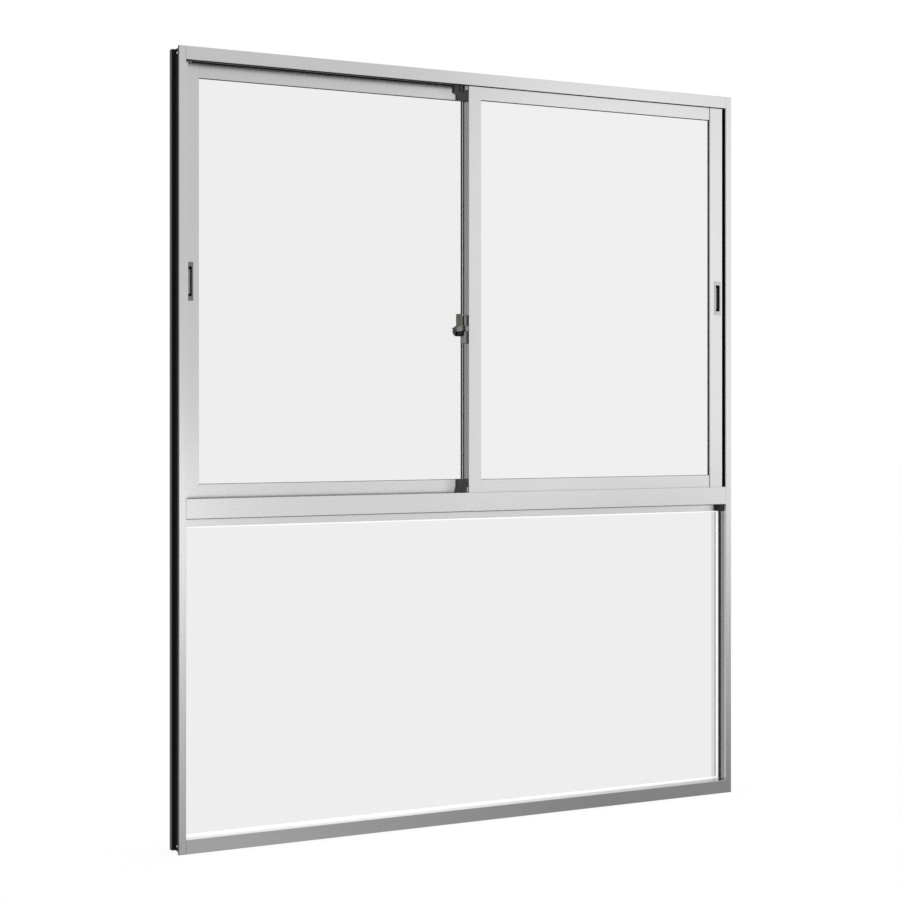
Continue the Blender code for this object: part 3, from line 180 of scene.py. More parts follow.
class WindowMetals(PropertyGroup):
    """Colours and sheen of the extrusions and the steel parts."""

    frame_colour: colour_prop("Frame", "Anodised frame extrusions", tone(194, 194, 194))
    sash_colour: colour_prop("Sash", "Anodised sash extrusions", tone(193, 193, 193))
    # Painted brightness on the beads and on the rear legs by the fixed light, as if lit; also the
    # screws' own pale zinc
    zinc_and_lit_pale_colour: colour_prop("Beads", "Pale beads, rear legs and screws", tone(238, 238, 237))
    # Painted shade in the anchor channels, dull and dark
    channel_shade_colour: colour_prop("Channel", "Dull coat of the anchor channels", tone(40, 40, 40))
    # Painted shade inside the head's cavity
    cavity_shade_colour: colour_prop("Cavity", "Dark inside of the head", tone(40, 40, 40))
    # Painted shade: the fillers are darker, as in the shade beside the fixed light
    filler_shade_colour: colour_prop("Filler", "Fillers beside the fixed light", tone(146, 146, 146))
    # Painted highlight along the sill's ledge
    ledge_highlight_colour: colour_prop("Ledge", "Bright ledge on top of the sill", tone(252, 252, 252))
    # Painted shadow in the seam under the transom's face
    seam_shadow_colour: colour_prop("Seam", "Shaded seam under the transom's face", tone(118, 118, 118))
    # Painted shade on the outer meeting stile's hook, behind the inner sash
    hook_shade_colour: colour_prop("Hook", "Hook of the outer meeting stile", tone(74, 73, 71))
    # Painted shade on the inner meeting stile's side
    side_shade_colour: colour_prop("Stile side", "Side of the inner meeting stile", tone(140, 140, 140))
    # Painted shade in the reveal beside the inner sash
    gap_shade_colour: colour_prop("Reveal", "Dark reveal beside the inner sash", tone(12, 12, 12))
    sheen: share_prop("Roughness", "Roughness of the satin anodising", 0.27)
    grain: share_prop("Die lines", "Depth of the fine lines left by the die", 0.12)
    arris: length_prop("Arris", "Width of the softened edge on each extrusion", 0.0003)
    steel_colour: colour_prop("Steel", "Stainless track caps", tone(176, 176, 175))
    inner_pull_colour: colour_prop("Inner pull", "Plate of the right pull", tone(170, 169, 168))
    outer_pull_colour: colour_prop("Outer pull", "Plate of the left pull", tone(118, 115, 110))
    recess_colour: colour_prop("Recess", "Floor of the finger recesses", tone(142, 139, 134))
    wall_shade_colour: colour_prop("Recess wall", "Shaded wall of the finger recesses", tone(44, 43, 42))


class WindowGlazing(PropertyGroup):
    """Colours of the panes, gaskets and seals."""

    outer_tint: colour_prop("Outer pane", "Tint of the left pane", tone(238, 238, 238))
    inner_tint: colour_prop("Inner pane", "Tint of the right pane", tone(239, 239, 239))
    fixed_tint: colour_prop("Fixed pane", "Tint of the lower pane", tone(238, 238, 238))
    haze: share_prop("Haze", "Roughness of the lower pane", 0.03)
    gasket_colour: colour_prop("Gasket", "Sash glazing channel", tone(92, 90, 83))
    seal_colour: colour_prop("Seal", "Pale seal of the fixed light", tone(250, 250, 248))
    # Painted glow: the seal gives off light though it is no lamp
    seal_painted_glow: share_prop("Seal glow", "Daylight that the translucent seal lets through", 0.5)
    # Black of the gaskets, pile and pull shades, also the painted shadow of the corner block and
    # the head's middle strip
    black_strip_and_shade_colour: colour_prop("Groove gasket", "Black strips, pads and pile", tone(30, 30, 30))
    cover_colour: colour_prop("Cover", "Pale cover strip on the right jamb", tone(222, 222, 222))
    pad_colour: colour_prop("Stop pad", "Beige stop pad in the head", tone(150, 147, 138))


class WindowLock(PropertyGroup):
    """Colours of the crescent lock, its keeper and the draft blocks."""

    cast_colour: colour_prop("Casting", "Painted lock castings", tone(138, 135, 130))
    # Painted light: the lever's front beside the cam, lightened as if lit
    hub_lit_colour: colour_prop("Hub", "Front of the lever beside the cam", tone(140, 136, 129))
    # Painted shade on the left side of the handle
    edge_shade_colour: colour_prop("Lever edge", "Darker left side of the handle", tone(80, 76, 66))
    # Black of the cam, keeper and stop pin, also painted shade on the housing's side and in the
    # upper block's groove
    black_and_shade_colour: colour_prop("Cam", "Blackened cam, keeper and stop pin", tone(20, 19, 18))
    plastic_colour: colour_prop("Plastic", "Black blocks and lock base", tone(46, 45, 43))
    tongue_colour: colour_prop("Tongue", "Tongue in the upper block's groove", tone(84, 83, 80))
    pad_colour: colour_prop("Pads", "Beige guide pads beside the blocks", tone(196, 190, 176))


class WindowStage(PropertyGroup):
    """Camera, lamps and floor."""

    eye: FloatVectorProperty(
        name="Eye", description="Place of the camera", subtype="TRANSLATION", unit="LENGTH",
        size=3, default=(-2.2177, -4.1505, 1.0392),
    )
    turn: FloatProperty(
        name="Turn", description="Camera's turn to the right of straight ahead",
        subtype="ANGLE", default=math.radians(27.337),
    )
    focal_length: share_prop(
        "Focal length", "Lens in millimetres on a 36 mm sensor", 74.05, top=300.0,
    )
    drop: FloatProperty(name="Shift", description="Upright shift of the lens", default=-0.0421)
    slide: FloatProperty(name="Slide", description="Level shift of the lens", default=-0.00056)
    key_power: share_prop("Key lamp", "Watts of the key lamp", 8.8, top=100.0)
    left_power: share_prop("Left lamp", "Watts of the low left lamp", 7.0, top=100.0)
    right_power: share_prop("Right lamp", "Watts of the low right lamp", 4.0, top=100.0)
    strip_power: share_prop("Strip lamp", "Watts of the level strip", 1.9, top=100.0)
    sky: share_prop("Sky", "Strength of the plain light all round", 0.55, top=4.0)


def add_node(tree, kind, inputs=None, **settings):
    """Add a shader node, set its options, and fill or link its inputs."""
    node = tree.nodes.new(kind)
    for name, value in settings.items():
        setattr(node, name, value)
    for socket, value in (inputs or {}).items():
        plug(tree, node.inputs[socket], value)
    return node


def plug(tree, socket, value):
    """Link an output to a socket, or set a plain value on it."""
    if isinstance(value, bpy.types.NodeSocket):
        tree.links.new(value, socket)
    else:
        socket.default_value = value


def maths(tree, operation, first, second, clamp=False):
    """One step of arithmetic on two values."""
    node = add_node(tree, "ShaderNodeMath", operation=operation, use_clamp=clamp)
    for socket, value in zip(node.inputs, (first, second)):
        plug(tree, socket, value)
    return node.outputs["Value"]


def overlap(tree, *masks):
    """The mask of where several masks meet."""
    shared = masks[0]
    for mask in masks[1:]:
        shared = maths(tree, "MULTIPLY", shared, mask)
    return shared


def inverse(tree, mask):
    """The mask of everywhere else."""
    return maths(tree, "SUBTRACT", 1.0, mask)


def object_place(tree):
    """Places on the window in its own metres, for patterns and masks."""
    return add_node(tree, "ShaderNodeTexCoord").outputs["Object"]


def noise(tree, vector, **inputs):
    """Plain noise around one half."""
    return add_node(tree, "ShaderNodeTexNoise", {"Vector": vector, **inputs}).outputs["Fac"]


def tinted(tree, colour, level):
    """A colour made lighter or darker by a factor."""
    scaled = add_node(tree, "ShaderNodeVectorMath", operation="SCALE")
    plug(tree, scaled.inputs[0], colour)
    plug(tree, scaled.inputs["Scale"], level)
    return scaled.outputs[0]


def blend_colour(tree, share, first, second):
    """Mix two colours by a share from 0 to 1."""
    node = add_node(tree, "ShaderNodeMix", data_type="RGBA")
    plug(tree, node.inputs[0], share)
    plug(tree, node.inputs[6], first)
    plug(tree, node.inputs[7], second)
    return node.outputs[2]


def spread(tree, value, low, high, to_low, to_high):
    """Carry a value from one range to another, held at the ends."""
    node = add_node(tree, "ShaderNodeMapRange", clamp=True)
    for name, level in (
        ("Value", value), ("From Min", low), ("From Max", high),
        ("To Min", to_low), ("To Max", to_high),
    ):
        plug(tree, node.inputs[name], level)
    return node.outputs["Result"]


def new_group(name, inputs, outputs):
    """A shader node group with named sockets; gives the tree and both end nodes."""
    tree = bpy.data.node_groups.new(name, "ShaderNodeTree")
    for label, kind, default in inputs:
        socket = tree.interface.new_socket(name=label, in_out="INPUT", socket_type=kind)
        socket.default_value = default
    for label, kind in outputs:
        tree.interface.new_socket(name=label, in_out="OUTPUT", socket_type=kind)
    start = tree.nodes.new("NodeGroupInput")
    end = tree.nodes.new("NodeGroupOutput")
    return tree, start.outputs, end.inputs


def make_grain_group():
    """Die lines along an extrusion, with slow clouding of the oxide."""
    tree, given, out = new_group(
        "Extrusion Grain",
        (
            ("Colour", COLOUR, (0.5, 0.5, 0.5, 1.0)),
            ("Run", VECTOR, (400.0, 400.0, 2.0)),
            ("Roughness", NUMBER, 0.4),
            ("Grain", NUMBER, 0.25),
            ("Clouding", NUMBER, 0.06),
        ),
        (("Colour", COLOUR), ("Roughness", NUMBER), ("Height", NUMBER)),
    )
    place = object_place(tree)
    stretched = add_node(tree, "ShaderNodeVectorMath", operation="MULTIPLY")
    plug(tree, stretched.inputs[0], place)
    plug(tree, stretched.inputs[1], given["Run"])
    lines = noise(tree, stretched.outputs[0], Scale=1.0, Detail=3.0, Roughness=0.65)
    clouds = noise(tree, place, Scale=5.0, Detail=2.0, Roughness=0.5)
    fine = noise(tree, place, Scale=900.0, Detail=1.0, Roughness=0.5)
    shade = maths(tree, "SUBTRACT", clouds, 0.5)
    shade = maths(tree, "MULTIPLY", shade, given["Clouding"])
    streak = maths(tree, "SUBTRACT", lines, 0.5)
    streak = maths(tree, "MULTIPLY", streak, maths(tree, "MULTIPLY", given["Grain"], 0.25))
    level = maths(tree, "ADD", maths(tree, "ADD", shade, streak), 1.0)
    plug(tree, out["Colour"], tinted(tree, given["Colour"], level))
    streak_sheen = maths(tree, "MULTIPLY", maths(tree, "SUBTRACT", lines, 0.5), 0.05)
    fine_sheen = maths(tree, "MULTIPLY", maths(tree, "SUBTRACT", fine, 0.5), 0.1)
    sheen = maths(tree, "ADD", streak_sheen, fine_sheen)
    plug(tree, out["Roughness"], maths(tree, "ADD", sheen, given["Roughness"], clamp=True))
    height = maths(tree, "MULTIPLY", lines, given["Grain"])
    plug(tree, out["Height"], maths(tree, "ADD", height, maths(tree, "MULTIPLY", fine, 0.15)))
    return tree


def make_band_group():
    """A mask that is 1 between two places along one direction."""
    tree, given, out = new_group(
        "Band Mask",
        (
            ("Direction", VECTOR, (1.0, 0.0, 0.0)),
            ("Low", NUMBER, 0.0),
            ("High", NUMBER, 1.0),
            ("Softness", NUMBER, 0.0005),
        ),
        (("Mask", NUMBER),),
    )
    along = add_node(tree, "ShaderNodeVectorMath", operation="DOT_PRODUCT")
    plug(tree, along.inputs[0], object_place(tree))
    plug(tree, along.inputs[1], given["Direction"])
    value = along.outputs["Value"]
    over = maths(tree, "SUBTRACT", value, given["Low"])
    over = maths(tree, "DIVIDE", over, given["Softness"], clamp=True)
    under = maths(tree, "SUBTRACT", given["High"], value)
    under = maths(tree, "DIVIDE", under, given["Softness"], clamp=True)
    plug(tree, out["Mask"], maths(tree, "MULTIPLY", over, under))
    return tree


def make_mould_group():
    """The faint stipple and mottling of a moulded or cast surface."""
    tree, given, out = new_group(
        "Moulded Skin",
        (
            ("Colour", COLOUR, (0.1, 0.1, 0.1, 1.0)),
            ("Pitch", NUMBER, 1500.0),
            ("Roughness", NUMBER, 0.5),
            ("Mottle", NUMBER, 0.12),
        ),
        (("Colour", COLOUR), ("Roughness", NUMBER), ("Height", NUMBER)),
    )
    place = object_place(tree)
    stipple = add_node(
        tree, "ShaderNodeTexVoronoi", {"Vector": place, "Scale": given["Pitch"]},
        feature="SMOOTH_F1",
    ).outputs["Distance"]
    mottle = noise(tree, place, Scale=60.0, Detail=3.0)
    drift = maths(tree, "MULTIPLY", maths(tree, "SUBTRACT", mottle, 0.5), given["Mottle"])
    plug(tree, out["Colour"], tinted(tree, given["Colour"], maths(tree, "ADD", drift, 1.0)))
    plug(tree, out["Roughness"], maths(tree, "ADD", given["Roughness"], drift, clamp=True))
    plug(tree, out["Height"], stipple)
    return tree


def make_dust_group():
    """Thin dust that settles on faces that look up."""
    tree, given, out = new_group(
        "Settled Dust",
        (("Colour", COLOUR, (0.5, 0.5, 0.5, 1.0)), ("Amount", NUMBER, 0.2)),
        (("Colour", COLOUR), ("Mask", NUMBER)),
    )
    normal = add_node(tree, "ShaderNodeNewGeometry").outputs["Normal"]
    up = add_node(tree, "ShaderNodeSeparateXYZ", {"Vector": normal}).outputs["Z"]
    patches = noise(tree, object_place(tree), Scale=40.0, Detail=4.0)
    mask = maths(tree, "MULTIPLY", spread(tree, up, 0.5, 1.0, 0.0, 1.0), patches)
    mask = maths(tree, "MULTIPLY", mask, given["Amount"], clamp=True)
    plug(tree, out["Mask"], mask)
    dust_colour = opaque(tone(186, 180, 168))
    plug(tree, out["Colour"], blend_colour(tree, mask, given["Colour"], dust_colour))
    return tree


def place_group(tree, name, maker, inputs):
    """Place a shared group, made on first use, in a material with its own values."""
    node = tree.nodes.new("ShaderNodeGroup")
    node.node_tree = bpy.data.node_groups.get(name) or maker()
    for socket, value in inputs.items():
        plug(tree, node.inputs[socket], value)
    return node.outputs


def new_material(name, **sockets):
    """A material with one Principled shader; gives the material, tree and shader."""
    made = bpy.data.materials.new(name)
    made.use_nodes = True
    tree = made.node_tree
    shader = tree.nodes["Principled BSDF"]
    for label, value in sockets.items():
        shader.inputs[label.replace("_", " ")].default_value = value
    return made, tree, shader


def add_bump(tree, shader, height, strength, distance):
    """Feed a height to the shader's normal."""
    bump = add_node(
        tree, "ShaderNodeBump", {"Height": height, "Strength": strength, "Distance": distance},
    )
    tree.links.new(bump.outputs["Normal"], shader.inputs["Normal"])


def band(tree, axis, low, high, softness=0.3 * MILLIMETRE):
    """A mask between two places along one axis."""
    direction = {"x": (1.0, 0.0, 0.0), "y": (0.0, 1.0, 0.0), "z": (0.0, 0.0, 1.0)}[axis]
    return place_group(tree, "Band Mask", make_band_group, {
        "Direction": direction, "Low": low, "High": high, "Softness": softness,
    })["Mask"]


def paint(tree, shader, mask, colour, matt=False):
    """Lay another colour over the shader's own inside a mask, as a matt coat if asked."""
    socket = shader.inputs["Base Color"]
    bare = socket.links[0].from_socket
    plug(tree, socket, blend_colour(tree, mask, bare, opaque(colour)))
    if matt:
        socket = shader.inputs["Metallic"]
        bare = socket.links[0].from_socket
        plug(tree, socket, overlap(tree, bare, inverse(tree, mask)))


def paint_channel_shade(tree, shader, colour, axis, low, high):
    """Painted shade outside the webs, dull and dark, where the wall hides the anchor channels."""
    reach = ANCHOR_WEB + 0.3 * MILLIMETRE
    inner = band(tree, axis, low + reach, high - reach)
    deep = band(tree, "y", ROOM_FACE + 0.6 * MILLIMETRE, FAR_FACE - 0.5 * MILLIMETRE)
    paint(tree, shader, overlap(tree, inverse(tree, inner), deep), colour, matt=True)


def extrusion_material(name, colour, metals, run):
    """Satin metal whose fine lines run one way; gives the material, tree and shader."""
    made, tree, shader = new_material(name, Metallic=1.0, Specular_IOR_Level=0.1)
    grain = place_group(tree, "Extrusion Grain", make_grain_group, {
        "Colour": opaque(colour), "Run": run, "Roughness": metals.sheen,
        "Grain": metals.grain, "Clouding": CLOUDING,
    })
    dusty = place_group(tree, "Settled Dust", make_dust_group, {
        "Colour": grain["Colour"], "Amount": DUST,
    })
    plug(tree, shader.inputs["Base Color"], dusty["Colour"])
    plug(tree, shader.inputs["Roughness"], grain["Roughness"])
    plug(tree, shader.inputs["Metallic"], inverse(tree, dusty["Mask"]))
    add_bump(tree, shader, grain["Height"], 0.05, 0.0001)
    return made, tree, shader


def moulded_material(name, colour, roughness, metallic=0.0, pitch=1500.0, mottle=0.12):
    """A moulded or cast surface with a fine stipple; gives the material, tree and shader."""
    made, tree, shader = new_material(name, Metallic=metallic)
    skin = place_group(tree, "Moulded Skin", make_mould_group, {
        "Colour": opaque(colour), "Pitch": pitch, "Roughness": roughness, "Mottle": mottle,
    })
    plug(tree, shader.inputs["Base Color"], skin["Colour"])
    plug(tree, shader.inputs["Roughness"], skin["Roughness"])
    add_bump(tree, shader, skin["Height"], 0.15, 0.0002)
    return made, tree, shader


def pane_material(name, colour, roughness=0.0):
    """Float glass with a very slight waviness, clear or a little hazy."""
    made, tree, shader = new_material(
        name, Base_Color=opaque(colour), Metallic=0.0, Roughness=roughness, IOR=PANE_INDEX,
        Transmission_Weight=1.0,
    )
    add_bump(tree, shader, noise(tree, object_place(tree), Scale=3.0, Detail=1.0), 0.02, 0.001)
    return made


def dress(names, material):
    """Give CAD nodes a material in place of their plain one."""
    for name in names:
        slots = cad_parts[name].data.materials
        slots.clear()
        slots.append(material)


def soften(names, width):
    """Round the sharp edges of CAD nodes with live modifiers."""
    for name in names:
        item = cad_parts[name]
        weld = item.modifiers.new("Weld", "WELD")
        weld.merge_threshold = 0.01 * MILLIMETRE
        bevel = item.modifiers.new("Arris", "BEVEL")
        bevel.width = width
        bevel.segments = 2
        bevel.limit_method = "ANGLE"
        bevel.angle_limit = math.radians(40.0)
        bevel.harden_normals = True


def hide_in_metal(*items):
    """Keep dark pieces out of the satin metal's mirror image, as in diffuse daylight."""
    for item in items:
        item.visible_glossy = False


class WINDOW_OT_dress_extrusions(Operator):
    """Finish the frame and sash extrusions in satin anodising"""

    bl_idname = "window.dress_extrusions"
    bl_label = "Dress Extrusions"

    def execute(self, context):
        metals = context.scene.window_metals
        self.dress_jambs(metals)
        self.dress_head(metals)
        self.dress_crosses(metals)
        for names, label, colour, run in (
            # Beads in the pale colour that is painted on as if lit
            (SIDE_BEADS, "bead_upright_metal", metals.zinc_and_lit_pale_colour, UPRIGHT_RUN),
            (LEVEL_BEADS, "bead_level_metal", metals.zinc_and_lit_pale_colour, LEVEL_RUN),
            # Fillers in a painted shade
            (FILLERS, "filler_shaded_metal", metals.filler_shade_colour, UPRIGHT_RUN),
            (LOCK_STILES, "sash_upright_metal", metals.sash_colour, UPRIGHT_RUN),
            (LEVEL_SASH, "sash_level_metal", metals.sash_colour, LEVEL_RUN),
        ):
            dress(names, extrusion_material(label, colour, metals, run)[0])
        self.dress_hook_stile(metals)
        self.dress_lock_side_stile(metals)
        soften(JAMBS + ("head",) + CROSSES + SIDE_BEADS + LEVEL_BEADS, metals.arris)
        soften(LOCK_STILES + MEETING_STILES + LEVEL_SASH + FILLERS, metals.arris)
        return {"FINISHED"}

    def dress_jambs(self, metals):
        """Jambs: painted shade in the anchor channels, a rear leg by the fixed light painted pale
        as if lit, and painted shade in the reveal by the inner sash.
        """
        made, tree, shader = extrusion_material(
            "jamb_metal", metals.frame_colour, metals, UPRIGHT_RUN,
        )
        paint_channel_shade(tree, shader, metals.channel_shade_colour, "x", LEFT_FACE, RIGHT_FACE)
        # Painted brightness: the rear leg below the transom is painted pale, as if lit through the
        # fixed light
        pale = overlap(
            tree, band(tree, "x", -OPENING - MILLIMETRE, OPENING + MILLIMETRE),
            band(tree, "y", REAR_LEG - 2.0 * MILLIMETRE, FAR_FACE),
            band(tree, "z", FOOT, TRANSOM_BOTTOM),
        )
        paint(tree, shader, pale, metals.zinc_and_lit_pale_colour)
        # Painted shade in the reveal beside the inner sash
        dark = overlap(
            tree, band(tree, "y", ROOM_FACE + 8.0 * MILLIMETRE, REAR_LEG - MILLIMETRE),
            band(tree, "x", 0.0, RIGHT_FACE - 9.0 * MILLIMETRE),
            band(tree, "z", TRANSOM_TOP, TOP),
        )
        paint(tree, shader, dark, metals.gap_shade_colour, matt=True)
        dress(JAMBS, made)

    def dress_head(self, metals):
        """Head: bright, with painted shade in the channel on top and in the cavity between its
        lips.
        """
        made, tree, shader = extrusion_material(
            "head_metal", metals.frame_colour, metals, LEVEL_RUN,
        )
        paint_channel_shade(tree, shader, metals.channel_shade_colour, "z", FOOT - 1.0, TOP)
        # Painted shade in the cavity between the head's lips
        cavity = overlap(
            tree, band(tree, "y", ROOM_FACE + 1.6 * MILLIMETRE, FAR_FACE - 0.5 * MILLIMETRE),
            band(tree, "z", HEAD_BOTTOM + MILLIMETRE, TOP - 9.0 * MILLIMETRE),
        )
        paint(tree, shader, cavity, metals.cavity_shade_colour)
        dress(("head",), made)

    def dress_hook_stile(self, metals):
        """Outer meeting stile: painted shade on its hook towards the room, behind the inner sash.
        """
        made, tree, shader = extrusion_material(
            "hook_shaded_metal", metals.sash_colour, metals, UPRIGHT_RUN,
        )
        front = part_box("outer_meeting_stile")[0][1]
        hook = band(tree, "y", front - MILLIMETRE, front + 4.0 * MILLIMETRE)
        paint(tree, shader, hook, metals.hook_shade_colour)
        dress(("outer_meeting_stile",), made)

    def dress_lock_side_stile(self, metals):
        """Inner meeting stile: painted shade on the side that carries the lock."""
        made, tree, shader = extrusion_material(
            "meeting_shaded_metal", metals.sash_colour, metals, UPRIGHT_RUN,
        )
        edge, face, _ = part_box("inner_meeting_stile")[0]
        side = overlap(
            tree, band(tree, "x", edge - MILLIMETRE, edge + 0.5 * MILLIMETRE),
            band(tree, "y", face + 0.4 * MILLIMETRE, FAR_FACE),
        )
        paint(tree, shader, side, metals.side_shade_colour)
        dress(("inner_meeting_stile",), made)

    def dress_crosses(self, metals):
        """Transom and sill: bright, with painted shade in the channel, a painted shadow in the
        seam and a painted highlight along the ledge.
        """
        made, tree, shader = extrusion_material(
            "cross_metal", metals.frame_colour, metals, LEVEL_RUN,
        )
        paint_channel_shade(tree, shader, metals.channel_shade_colour, "z", FOOT, TOP)
        # Painted shadow in the seam under the transom's face
        seam = overlap(
            tree, band(tree, "z", TRANSOM_BOTTOM - 4.0 * MILLIMETRE, TRANSOM_BOTTOM),
            band(tree, "y", ROOM_FACE + 2.0 * MILLIMETRE, FAR_FACE),
        )
        paint(tree, shader, seam, metals.seam_shadow_colour)
        # Painted highlight on the sill's ledge, fading out to the right
        across = add_node(
            tree, "ShaderNodeSeparateXYZ", {"Vector": object_place(tree)},
        ).outputs["X"]
        ledge = overlap(
            tree, band(tree, "z", SILL_TOP - 6.0 * MILLIMETRE, SILL_TOP + 20.0 * MILLIMETRE),
            band(tree, "y", ROOM_FACE + 1.2 * MILLIMETRE, FAR_FACE),
            spread(tree, across, -0.2, RIGHT_FACE, 1.0, 0.0),
        )
        paint(tree, shader, ledge, metals.ledge_highlight_colour)
        dress(CROSSES, made)


class WINDOW_OT_dress_glazing(Operator):
    """Finish the panes, gaskets and seals"""

    bl_idname = "window.dress_glazing"
    bl_label = "Dress Glazing"

    def execute(self, context):
        glazing = context.scene.window_glazing
        dress(("outer_glass",), pane_material("outer_pane", glazing.outer_tint))
        dress(("inner_glass",), pane_material("inner_pane", glazing.inner_tint))
        dress(("fixed_glass",), pane_material("fixed_pane", glazing.fixed_tint, glazing.haze))
        gasket = moulded_material("gasket_rubber", glazing.gasket_colour, 0.6, mottle=0.2)[0]
        dress(GASKETS, gasket)
        seal, _, shader = moulded_material(
            "pale_seal_rubber", glazing.seal_colour, 0.55, mottle=0.02,
        )
        # Painted glow: the seal emits its own pale colour though it is no lamp
        shader.inputs["Emission Color"].default_value = opaque(glazing.seal_colour)
        shader.inputs["Emission Strength"].default_value = glazing.seal_painted_glow
        dress(("fixed_seal",), seal)
        for name in SIDE_BEADS + LEVEL_BEADS:
            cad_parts[name].visible_transmission = False
        return {"FINISHED"}


class WINDOW_OT_dress_hardware(Operator):
    """Finish the tracks, rollers, pulls, lock and draft blocks"""

    bl_idname = "window.dress_hardware"
    bl_label = "Dress Hardware"

    def execute(self, context):
        metals = context.scene.window_metals
        lock = context.scene.window_lock
        steel = extrusion_material(
            "track_cap_steel", metals.steel_colour, metals, (2.0, 600.0, 600.0),
        )[0]
        dress(TRACK_CAPS, steel)
        self.dress_pull("inner_pull", metals, metals.inner_pull_colour)
        self.dress_pull("outer_pull", metals, metals.outer_pull_colour)
        dress(ROLLERS, moulded_material("roller_plastic", tone(214, 210, 200), 0.45)[0])
        casting = moulded_material("lock_casting_paint", lock.cast_colour, **CAST_SKIN)[0]
        dress(("crescent_catch",), casting)
        self.dress_lever(lock)
        self.dress_housing(lock)
        keeper = moulded_material("keeper_steel", lock.black_and_shade_colour, 0.42, 0.7)[0]
        dress(("crescent_keeper",), keeper)
        plastic = moulded_material("block_plastic", lock.plastic_colour, **BLOCK_SKIN)[0]
        dress(("lower_draft_block", "crescent_base"), plastic)
        self.dress_upper_block(lock)
        soften(PULLS, 0.2 * MILLIMETRE)
        soften(LOCK_PIECES + BLOCKS, 0.25 * MILLIMETRE)
        hide_in_metal(*(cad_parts[name] for name in BLOCKS))
        return {"FINISHED"}

    def dress_lever(self, lock):
        """Lever: painted, with a black cam, its lower front painted a little lighter as if lit,
        and painted shade on the left side of its handle.
        """
        made, tree, shader = moulded_material("lever_paint", lock.cast_colour, **CAST_SKIN)
        _, deep, up = add_node(
            tree, "ShaderNodeSeparateXYZ", {"Vector": object_place(tree)},
        ).outputs
        low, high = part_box("crescent_lever")
        behind = spread(tree, deep, 11.5 * MILLIMETRE, 12.5 * MILLIMETRE, 0.0, 1.0)
        under = spread(
            tree, up, PIVOT_HEIGHT - 17.0 * MILLIMETRE, PIVOT_HEIGHT - 16.0 * MILLIMETRE, 1.0, 0.0,
        )
        # Painted light: the lever's lower front is lightened a little, as if lit
        hub = band(tree, "z", low[2] - MILLIMETRE, PIVOT_HEIGHT + 7.0 * MILLIMETRE)
        paint(tree, shader, hub, lock.hub_lit_colour)
        cam = overlap(tree, maths(tree, "MAXIMUM", behind, under), hub)
        paint(tree, shader, cam, lock.black_and_shade_colour)
        # Painted shade on the handle's left side
        handle = band(tree, "z", PIVOT_HEIGHT + 5.0 * MILLIMETRE, high[2] + MILLIMETRE)
        left = band(
            tree, "x", low[0] - MILLIMETRE, high[0] - 11.0 * MILLIMETRE, 0.5 * MILLIMETRE,
        )
        paint(tree, shader, overlap(tree, left, handle, 0.8), lock.edge_shade_colour)
        dress(("crescent_lever",), made)

    def dress_upper_block(self, lock):
        """Upper block: painted shade in the groove for the stile's hook, with a paler tongue in
        it.
        """
        made, tree, shader = moulded_material(
            "upper_block_plastic", lock.plastic_colour, **BLOCK_SKIN,
        )
        # The first band is painted shade in the groove; the second is the paler tongue
        for start, end, foot, colour in (
            (-47.0, -31.0, 15.0, lock.black_and_shade_colour), (-41.5, -37.5, 10.5, lock.tongue_colour),
        ):
            groove = overlap(
                tree, band(tree, "x", start * MILLIMETRE, end * MILLIMETRE),
                band(tree, "z", HEAD_BOTTOM - foot * MILLIMETRE, TOP),
            )
            paint(tree, shader, groove, colour)
        dress(("upper_draft_block",), made)

    def dress_housing(self, lock):
        """Housing: painted shade on its side towards the lever, down to the cam."""
        made, tree, shader = moulded_material("housing_paint", lock.cast_colour, **CAST_SKIN)
        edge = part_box("crescent_housing")[0][0]
        # Painted shade on the side towards the lever
        side = overlap(
            tree, band(tree, "x", edge - MILLIMETRE, edge + 2.6 * MILLIMETRE),
            band(tree, "z", PIVOT_HEIGHT - 20.0 * MILLIMETRE, TOP, 3.0 * MILLIMETRE),
        )
        paint(tree, shader, side, lock.black_and_shade_colour)
        dress(("crescent_housing",), made)

    def dress_pull(self, name, metals, colour):
        """Finger pull: brushed plate, a recess floor in a colour of its own, and painted shade on
        the recess's right wall.
        """
        made, tree, shader = extrusion_material(
            f"{name}_steel", colour, metals, (600.0, 600.0, 8.0),
        )
        low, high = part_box(name)
        middle = (low[0] + high[0]) / 2.0
        recess = band(tree, "y", low[1] + 1.4 * MILLIMETRE, high[1] + MILLIMETRE)
        paint(tree, shader, recess, metals.recess_colour)
        # Painted shade on the recess's right wall
        wall = overlap(
            tree, band(tree, "y", low[1] + 0.6 * MILLIMETRE, high[1] + MILLIMETRE),
            band(tree, "x", middle + 5.7 * MILLIMETRE, high[0], 0.1 * MILLIMETRE),
        )
        paint(tree, shader, wall, metals.wall_shade_colour, matt=True)
        dress((name,), made)


def deselect_all():
    """Start each piece with nothing selected."""
    bpy.ops.object.select_all(action="DESELECT")


def finish_piece(item, name, material):
    """Name a made piece, settle its place into its mesh and hang it on the window."""
    item.name = name
    item.data.name = name
    bpy.ops.object.transform_apply(location=True, rotation=True, scale=True)
    item.data.materials.clear()
    item.data.materials.append(material)
    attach(item, "root")
    return item


def ease_edges(width, segments):
    """Bevel every edge of the active piece."""
    bpy.ops.object.mode_set(mode="EDIT")
    bpy.ops.mesh.select_all(action="SELECT")
    bpy.ops.mesh.bevel(offset=width, offset_type="OFFSET", segments=segments, affect="EDGES")
    bpy.ops.object.mode_set(mode="OBJECT")


def add_bar(name, low, high, material, chamfer=0.3 * MILLIMETRE):
    """A straight strip or pad between two corners, with its edges eased."""
    deselect_all()
    middle = [(a + b) / 2.0 for a, b in zip(low, high)]
    size = [b - a for a, b in zip(low, high)]
    bpy.ops.mesh.primitive_cube_add(size=1.0, location=middle, scale=size)
    item = finish_piece(bpy.context.object, name, material)
    ease_edges(chamfer, 2)
    return item


